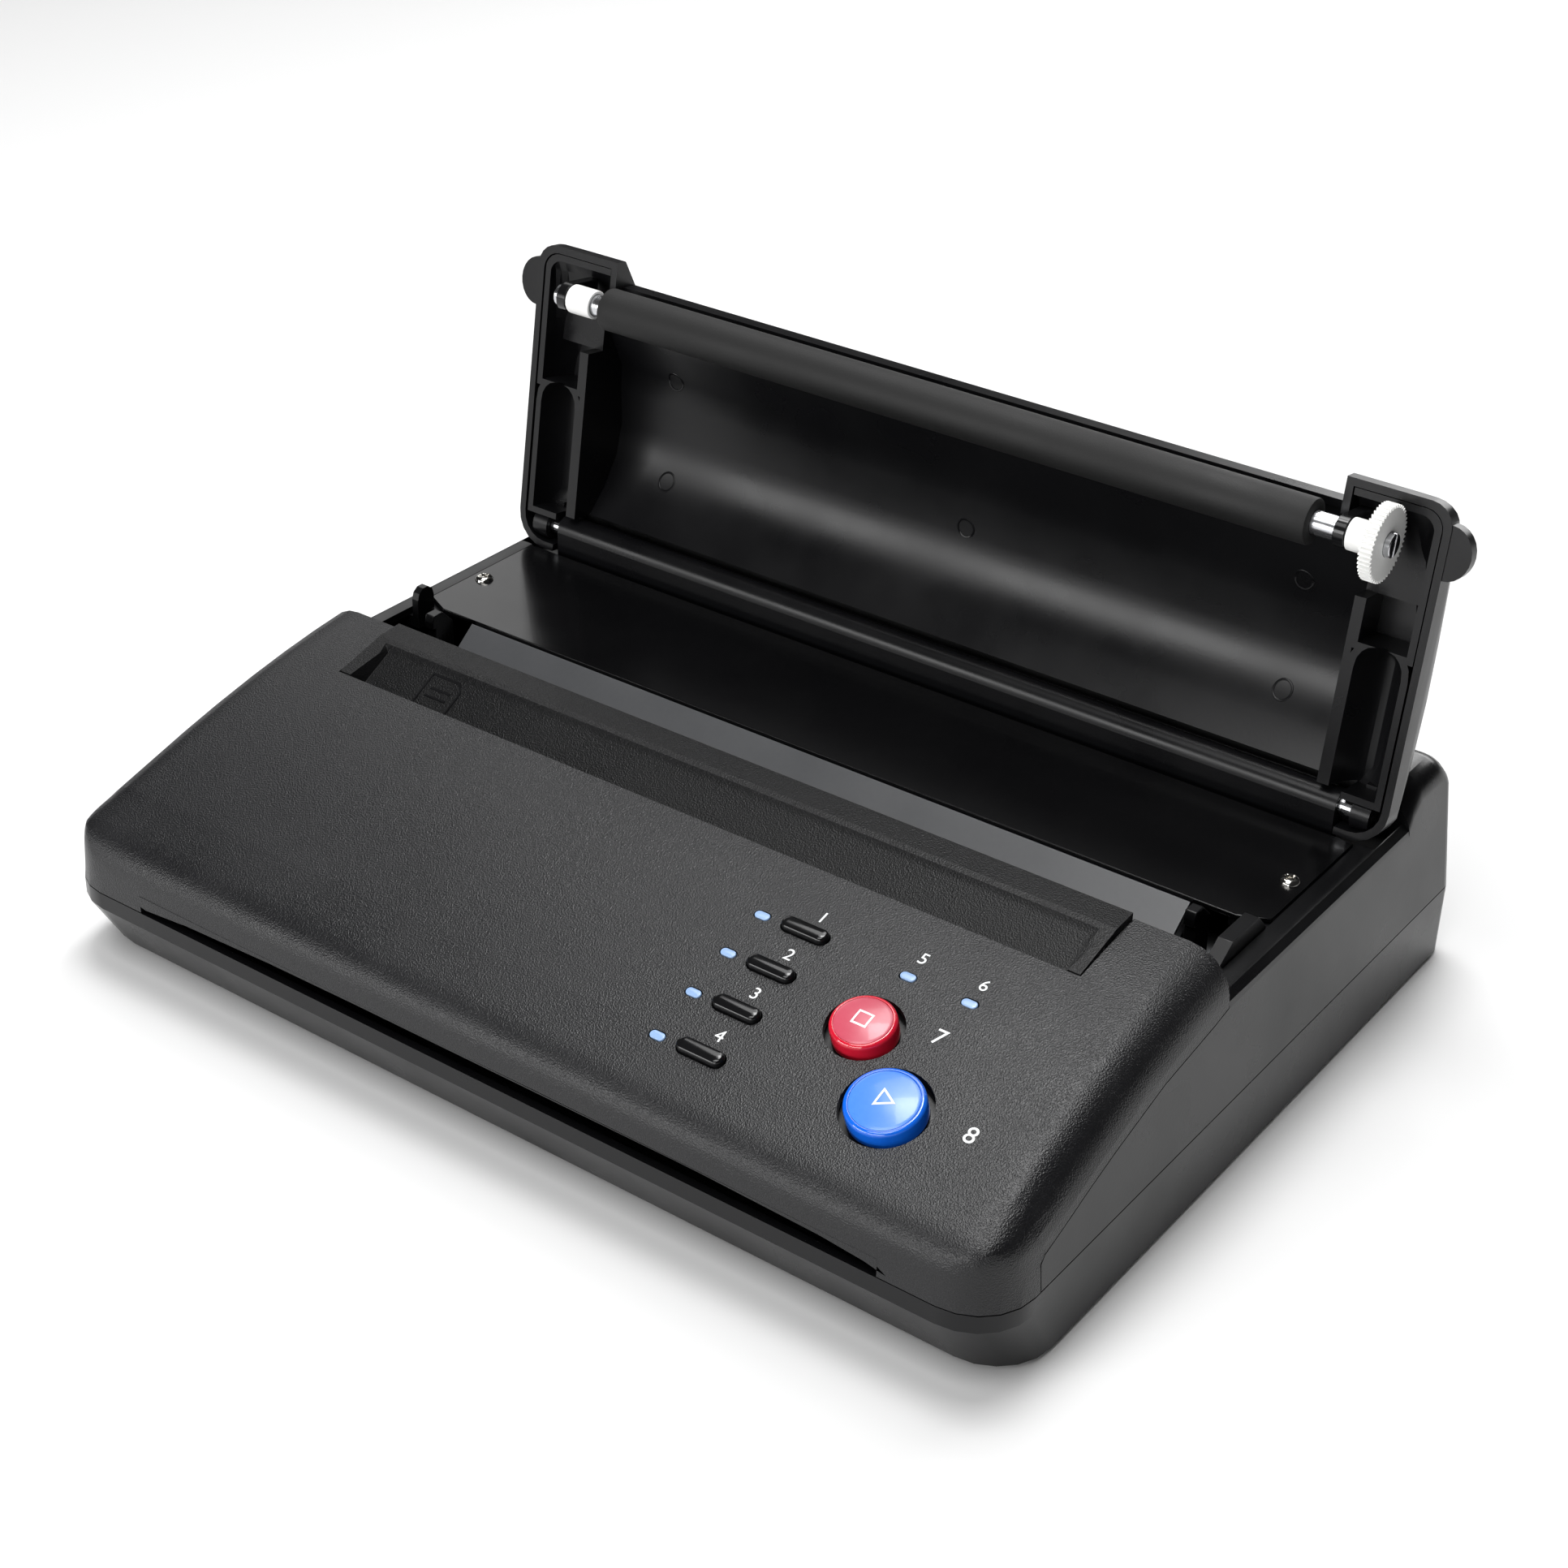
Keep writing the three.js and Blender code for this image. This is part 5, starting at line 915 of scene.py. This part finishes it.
@dataclass(frozen=True)
class PanScrew:
    """A cross-recessed pan screw: the head is a height field over a disc."""

    head: float = 2.6
    rise: float = 1.3
    cross: float = 0.42
    reach: float = 1.45
    shank: float = 1.5
    length: float = 7.0
    recess: float = 0.75
    side_fade: float = 0.12
    end_fade: float = 0.2
    seam_turn: float = 0.6
    cross_turn: float = 0.35

    def slot(self, across: np.ndarray, along: np.ndarray) -> np.ndarray:
        """Share of the recess's depth at each point: 1 in the slot, faded to 0 past its edges."""
        return (np.clip((self.cross - np.abs(across)) / self.side_fade, 0, 1)
                * np.clip((self.reach - np.abs(along)) / self.end_fade, 0, 1))

    def build(self, shop: Workshop, name: str, node: str, place: tuple[float, float, float]) -> None:
        """Makes the screw on its seat.

        Head height is rise (1 - (r/R)^4)^0.6 less a cross: two slots, each 1 where |across| < cross and
        |along| < reach, faded over side_fade and end_fade.

        Args:
            shop: where the piece is added.
            name: the piece's name.
            node: the CAD node that it stands for.
            place: x, depth and height of the seat.
        """
        radii = np.concatenate([[0.02], np.linspace(0.1, self.head, 30)])
        t = np.linspace(0, 2 * np.pi, CAP_STEPS, endpoint=False) + self.seam_turn
        x, y = radii[:, None] * np.cos(t), radii[:, None] * np.sin(t)
        cosine, sine = math.cos(self.cross_turn), math.sin(self.cross_turn)
        u, v = x * cosine - y * sine, x * sine + y * cosine
        depth = self.recess * np.maximum(self.slot(u, v), self.slot(v, u))
        dome = self.rise * np.clip(1 - (radii / self.head) ** 4, 0, 1)[:, None] ** 0.6
        head = np.stack([x, y, np.maximum(dome - depth, 0.0)], -1)
        tip = [(self.shank, 0.0), (self.shank, 0.8 - self.length), (0.4, -self.length)]
        shank = turned(tip, CAP_STEPS)
        points = np.concatenate([head, shank]) + np.array(place)
        shop.add(name, closed_skin(name, in_frame(points)), NICKEL, "base", (node,))


@dataclass
class PlatenRoller:
    """The rubber sleeve on the lid's shaft, with its ends broken and a faint grinding lay."""

    half_length: float = 107.0
    radius: float = 5.85
    bore: float = 3.15
    centre: tuple[float, float] = (109.5, 24.7)
    steps: int = 72
    lay_depth: float = 0.02
    lay_rate: float = 0.9

    def build(self, shop: Workshop) -> None:
        """Turns the sleeve from its section and lays it in the open lid."""
        near, far = -self.half_length, self.half_length
        lay = np.linspace(near + 0.7, far - 0.7, 60)
        skin = [(self.radius - self.lay_depth * (1 + math.sin(v * self.lay_rate)) / 2, v) for v in lay]
        shoulder, corner = self.radius - 0.6, self.radius - 0.15
        profile = [(self.bore, near), (shoulder, near), (corner, near + 0.2), *skin,
                   (corner, far - 0.2), (shoulder, far), (self.bore, far)]
        rings = along_x(turned(profile, self.steps), 0.0, self.centre)
        faces = grid_faces(len(profile), self.steps, close_rows=True, close_columns=True)
        mesh = cleaned(mesh_of("platen_rubber", in_frame(opened(rings)), faces))
        mesh.set_sharp_from_angle(angle=math.radians(40))
        shop.add("platen_rubber", mesh, RUBBER, "platen", ("platen_roller",))


@dataclass
class LidPanel:
    """Small moulded marks on the lid's inner panel: the round prints of the ejector pins."""

    shares: tuple[tuple[float, float], ...] = (
        (0, 0), (0.242, 0.435), (0.374, 0.83), (0.481, 0.871), (0.625, 1), (0.764, 0.912),
        (0.894, 0.62), (1, 0.231))
    front: float = 105.7
    rear: float = 174.7
    low: float = 34.8
    peak: float = 49.5
    pin_radius: float = 2.75
    ring_width: float = 0.55
    ring_rise: float = 0.18
    ring_sunk: float = 0.06
    ring_bevel: float = 0.12
    pin_places: tuple[tuple[float, float], ...] = (
        (-98.2, 131.5), (98.2, 131.5), (-98.2, 161.0), (98.2, 161.0), (0.0, 147.0))

    def surface(self, depth: np.ndarray) -> np.ndarray:
        """Height of the panel over the closed lid's plane, straight between its section's corners."""
        knots = np.array(self.shares)
        return np.interp(depth, self.front + knots[:, 0] * (self.rear - self.front),
                         self.low + knots[:, 1] * (self.peak - self.low))

    def build(self, shop: Workshop) -> None:
        """Lays a thin ring for each pin onto the panel.

        A ring is turned from a closed profile; its height is measured down from the panel at
        each point.
        """
        outer, inner = self.pin_radius, self.pin_radius - self.ring_width
        sunk, top, bevel = -self.ring_sunk, self.ring_rise, self.ring_bevel
        profile = [(inner, sunk), (inner, top / 2), (inner + bevel, top), (outer - bevel, top),
                   (outer, top / 2), (outer, sunk), (inner, sunk)]
        steps = 48
        points, faces = [], []
        for x, depth in self.pin_places:
            disc = turned(profile, steps)
            across, along = disc[..., 0] + x, disc[..., 1] + depth
            height = self.surface(along) - disc[..., 2]
            base = len(points) * len(profile) * steps
            points.append(np.stack([across, along, height], -1).reshape(-1, 3))
            faces += (grid_faces(len(profile), steps, close_columns=True) + base).tolist()
        mesh = cleaned(mesh_of("ejector_prints", in_frame(opened(np.concatenate(points))), faces))
        mesh.set_sharp_from_angle(angle=math.radians(35))
        shop.add("ejector_prints", mesh, SATIN_ABS, "lid")


@dataclass
class TroughSign:
    """A raised page outline with two bars, on the floor of the document trough."""

    left: float = -90.0
    right: float = -79.0
    front: float = 77.6
    rear: float = 86.4
    front_height: float = 33.2
    rear_height: float = 38.8
    floor_front: float = 76.6
    floor_rear: float = 87.1
    line: float = 0.5
    rise: float = 0.18
    sunk: float = 0.03
    fold: float = 2.2

    def floor(self, depth: np.ndarray) -> np.ndarray:
        """Height of the trough's sloping floor at a depth."""
        share = (depth - self.floor_front) / (self.floor_rear - self.floor_front)
        return self.front_height + share * (self.rear_height - self.front_height)

    def build(self, shop: Workshop) -> None:
        """Draws the page and its bars as raised bands that follow the floor."""
        fold = self.fold
        page = np.array([[self.left, self.front], [self.right, self.front],
                         [self.right, self.rear - fold], [self.right - fold, self.rear],
                         [self.left, self.rear]])
        bands = [stroke(page, self.line)]
        for share in (0.35, 0.6):
            depth = self.front + share * (self.rear - self.front)
            bar = np.array([[self.left + 2.0, depth], [self.right - 2.4, depth]])
            bands.append(stroke(bar, self.line, closed=False))
        points, faces, count = [], [], 0
        for flat, band in bands:
            lifted = np.concatenate([flat, np.zeros((len(flat), 1))], 1)
            solid, solid_faces = raised(lifted, band.tolist(), self.rise + self.sunk)
            solid[:, 2] += self.floor(solid[:, 1]) - self.sunk
            points.append(solid)
            faces += [[v + count for v in face] for face in solid_faces]
            count += len(solid)
        mesh = cleaned(mesh_of("trough_page_sign", in_frame(np.concatenate(points)), faces, False))
        shop.add("trough_page_sign", mesh, SATIN_ABS, "base")


@dataclass(frozen=True)
class Studio:
    """Pale floor, soft light and the photograph's camera. Camera place is in the case's frame, mm."""

    place: tuple[float, float, float] = (350.8, -376.6, 383.7)
    yaw: float = 35.347
    pitch: float = 30.678
    roll: float = 1.705
    focal_pixels: float = 3418.76
    picture_pixels: float = 1932.0
    sensor: float = 36.0
    aim: tuple[float, float, float] = (0.0, 0.0, 0.05)
    floor_half: float = 4.0
    paper: str = "dcdcdc"
    paper_roughness: float = 0.9
    air_strength: float = 0.02
    boxes: tuple[tuple[str, tuple[float, float, float], tuple[float, float], float], ...] = (
        ("over_middle", (-0.1, 0.15, 1.4), (0.45, 0.45), 10.2),
        ("over_left", (-0.35, 0.35, 1.3), (0.6, 0.6), 4.8),
        ("over_back", (-0.15, 0.7, 1.2), (0.5, 0.5), 3.4),
        ("front_top", (0.0, -0.6, 1.3), (0.8, 0.6), 9.4),
        ("back", (0.0, 1.5, 0.7), (1.0, 0.6), 12.5),
        ("back_left", (-1.3, 0.9, 0.8), (0.8, 0.8), 3.0),
        ("front_left", (-0.6, -1.2, 0.35), (0.8, 0.5), 9.0),
        ("front_low", (0.2, -1.4, 0.35), (0.8, 0.4), 7.5),
    )

    def camera(self) -> None:
        """Sets the camera from yaw, pitch and roll.

        It looks along d = (-sin yaw cos pitch, cos yaw cos pitch, -sin pitch); its right and up are
        level right and their cross product, both turned by the roll about d.
        """
        yaw, pitch, roll = (math.radians(v) for v in (self.yaw, self.pitch, self.roll))
        look = Vector((-math.sin(yaw) * math.cos(pitch), math.cos(yaw) * math.cos(pitch),
                       -math.sin(pitch)))
        level = Vector((math.cos(yaw), math.sin(yaw), 0.0))
        above = level.cross(look)
        right = math.cos(roll) * level + math.sin(roll) * above
        upward = math.cos(roll) * above - math.sin(roll) * level
        data = bpy.data.cameras.new("studio_camera")
        data.sensor_fit = "HORIZONTAL"
        data.sensor_width = self.sensor
        data.lens = self.sensor * self.focal_pixels / self.picture_pixels
        data.clip_start, data.clip_end = 0.01, 50.0
        camera = bpy.data.objects.new("studio_camera", data)
        turn = Matrix((right, upward, -look)).transposed().to_4x4()
        camera.matrix_world = Matrix.Translation(Vector(in_frame(np.array(self.place)))) @ turn
        bpy.context.scene.collection.objects.link(camera)
        bpy.context.scene.camera = camera

    def panel(self, name: str, place: tuple[float, float, float], size: tuple[float, float],
              watts: float) -> None:
        """A soft rectangular light that faces the object.

        Args:
            name: the light's name.
            place: its centre in metres.
            size: its width and height in metres.
            watts: its power.
        """
        data = bpy.data.lights.new(name, "AREA")
        data.shape = "RECTANGLE"
        data.size, data.size_y = size
        data.energy = watts
        light = bpy.data.objects.new(name, data)
        light.location = place
        toward = Vector(self.aim) - Vector(place)
        light.rotation_euler = toward.to_track_quat("-Z", "Y").to_euler()
        bpy.context.scene.collection.objects.link(light)

    def build(self) -> None:
        """Makes the floor, the world's even light, the soft boxes and the camera."""
        half = self.floor_half
        corners = np.array([[-half, -half, 0], [half, -half, 0], [half, half, 0], [-half, half, 0]])
        floor_mesh = mesh_of("studio_floor", corners, [[0, 1, 2, 3]], False)
        floor = bpy.data.objects.new("studio_floor", floor_mesh)
        paper = bpy.data.materials.new("paper_backdrop_matte")
        paper.use_nodes = True
        sheet = paper.node_tree.nodes["Principled BSDF"]
        sheet.inputs["Base Color"].default_value = linear(self.paper)
        sheet.inputs["Roughness"].default_value = self.paper_roughness
        floor.data.materials.append(paper)
        bpy.context.scene.collection.objects.link(floor)
        world = bpy.data.worlds.new("studio_air")
        world.use_nodes = True
        sky = world.node_tree.nodes["Background"]
        sky.inputs["Color"].default_value = (1.0, 1.0, 1.0, 1.0)
        sky.inputs["Strength"].default_value = self.air_strength
        bpy.context.scene.world = world
        for name, place, size, watts in self.boxes:
            self.panel(f"soft_box_{name}", place, size, watts)
        bpy.context.scene.view_settings.view_transform = "Standard"
        self.camera()
        log.info("studio: floor, %d soft boxes and the camera", len(self.boxes))


def dress_small_metal(shop: Workshop) -> None:
    """Gives the plain CAD nodes that stay as they are their finishes.

    Args:
        shop: where the materials come from.
    """
    plain = {"head_spring_left": ZINC, "head_spring_right": ZINC, "hinge_pin_left": STEEL,
             "hinge_pin_right": STEEL, **{f"foot_{i}": RUBBER for i in range(1, 5)}}
    for node, finish in plain.items():
        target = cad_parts[node]
        target.data.materials.clear()
        target.data.materials.append(shop.material(finish))
        log.info("%s keeps its CAD form", node)


def main() -> None:
    logging.basicConfig(level=logging.INFO, format="%(name)s: %(message)s")
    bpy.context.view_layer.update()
    shop = Workshop()
    for moulding in MOULDINGS:
        moulding.make(shop)
    dress_small_metal(shop)
    ControlPanel(CoverTop()).build(shop)
    for side, name in ((-1, "left"), (1, "right")):
        PanScrew().build(shop, f"plate_pan_screw_{name}", f"plate_screw_{name}",
                         (SCREW_SEAT[0] * side, *SCREW_SEAT[1:]))
    PlatenRoller().build(shop)
    LidPanel().build(shop)
    TroughSign().build(shop)
    Studio().build()


if __name__ == "__main__":
    main()
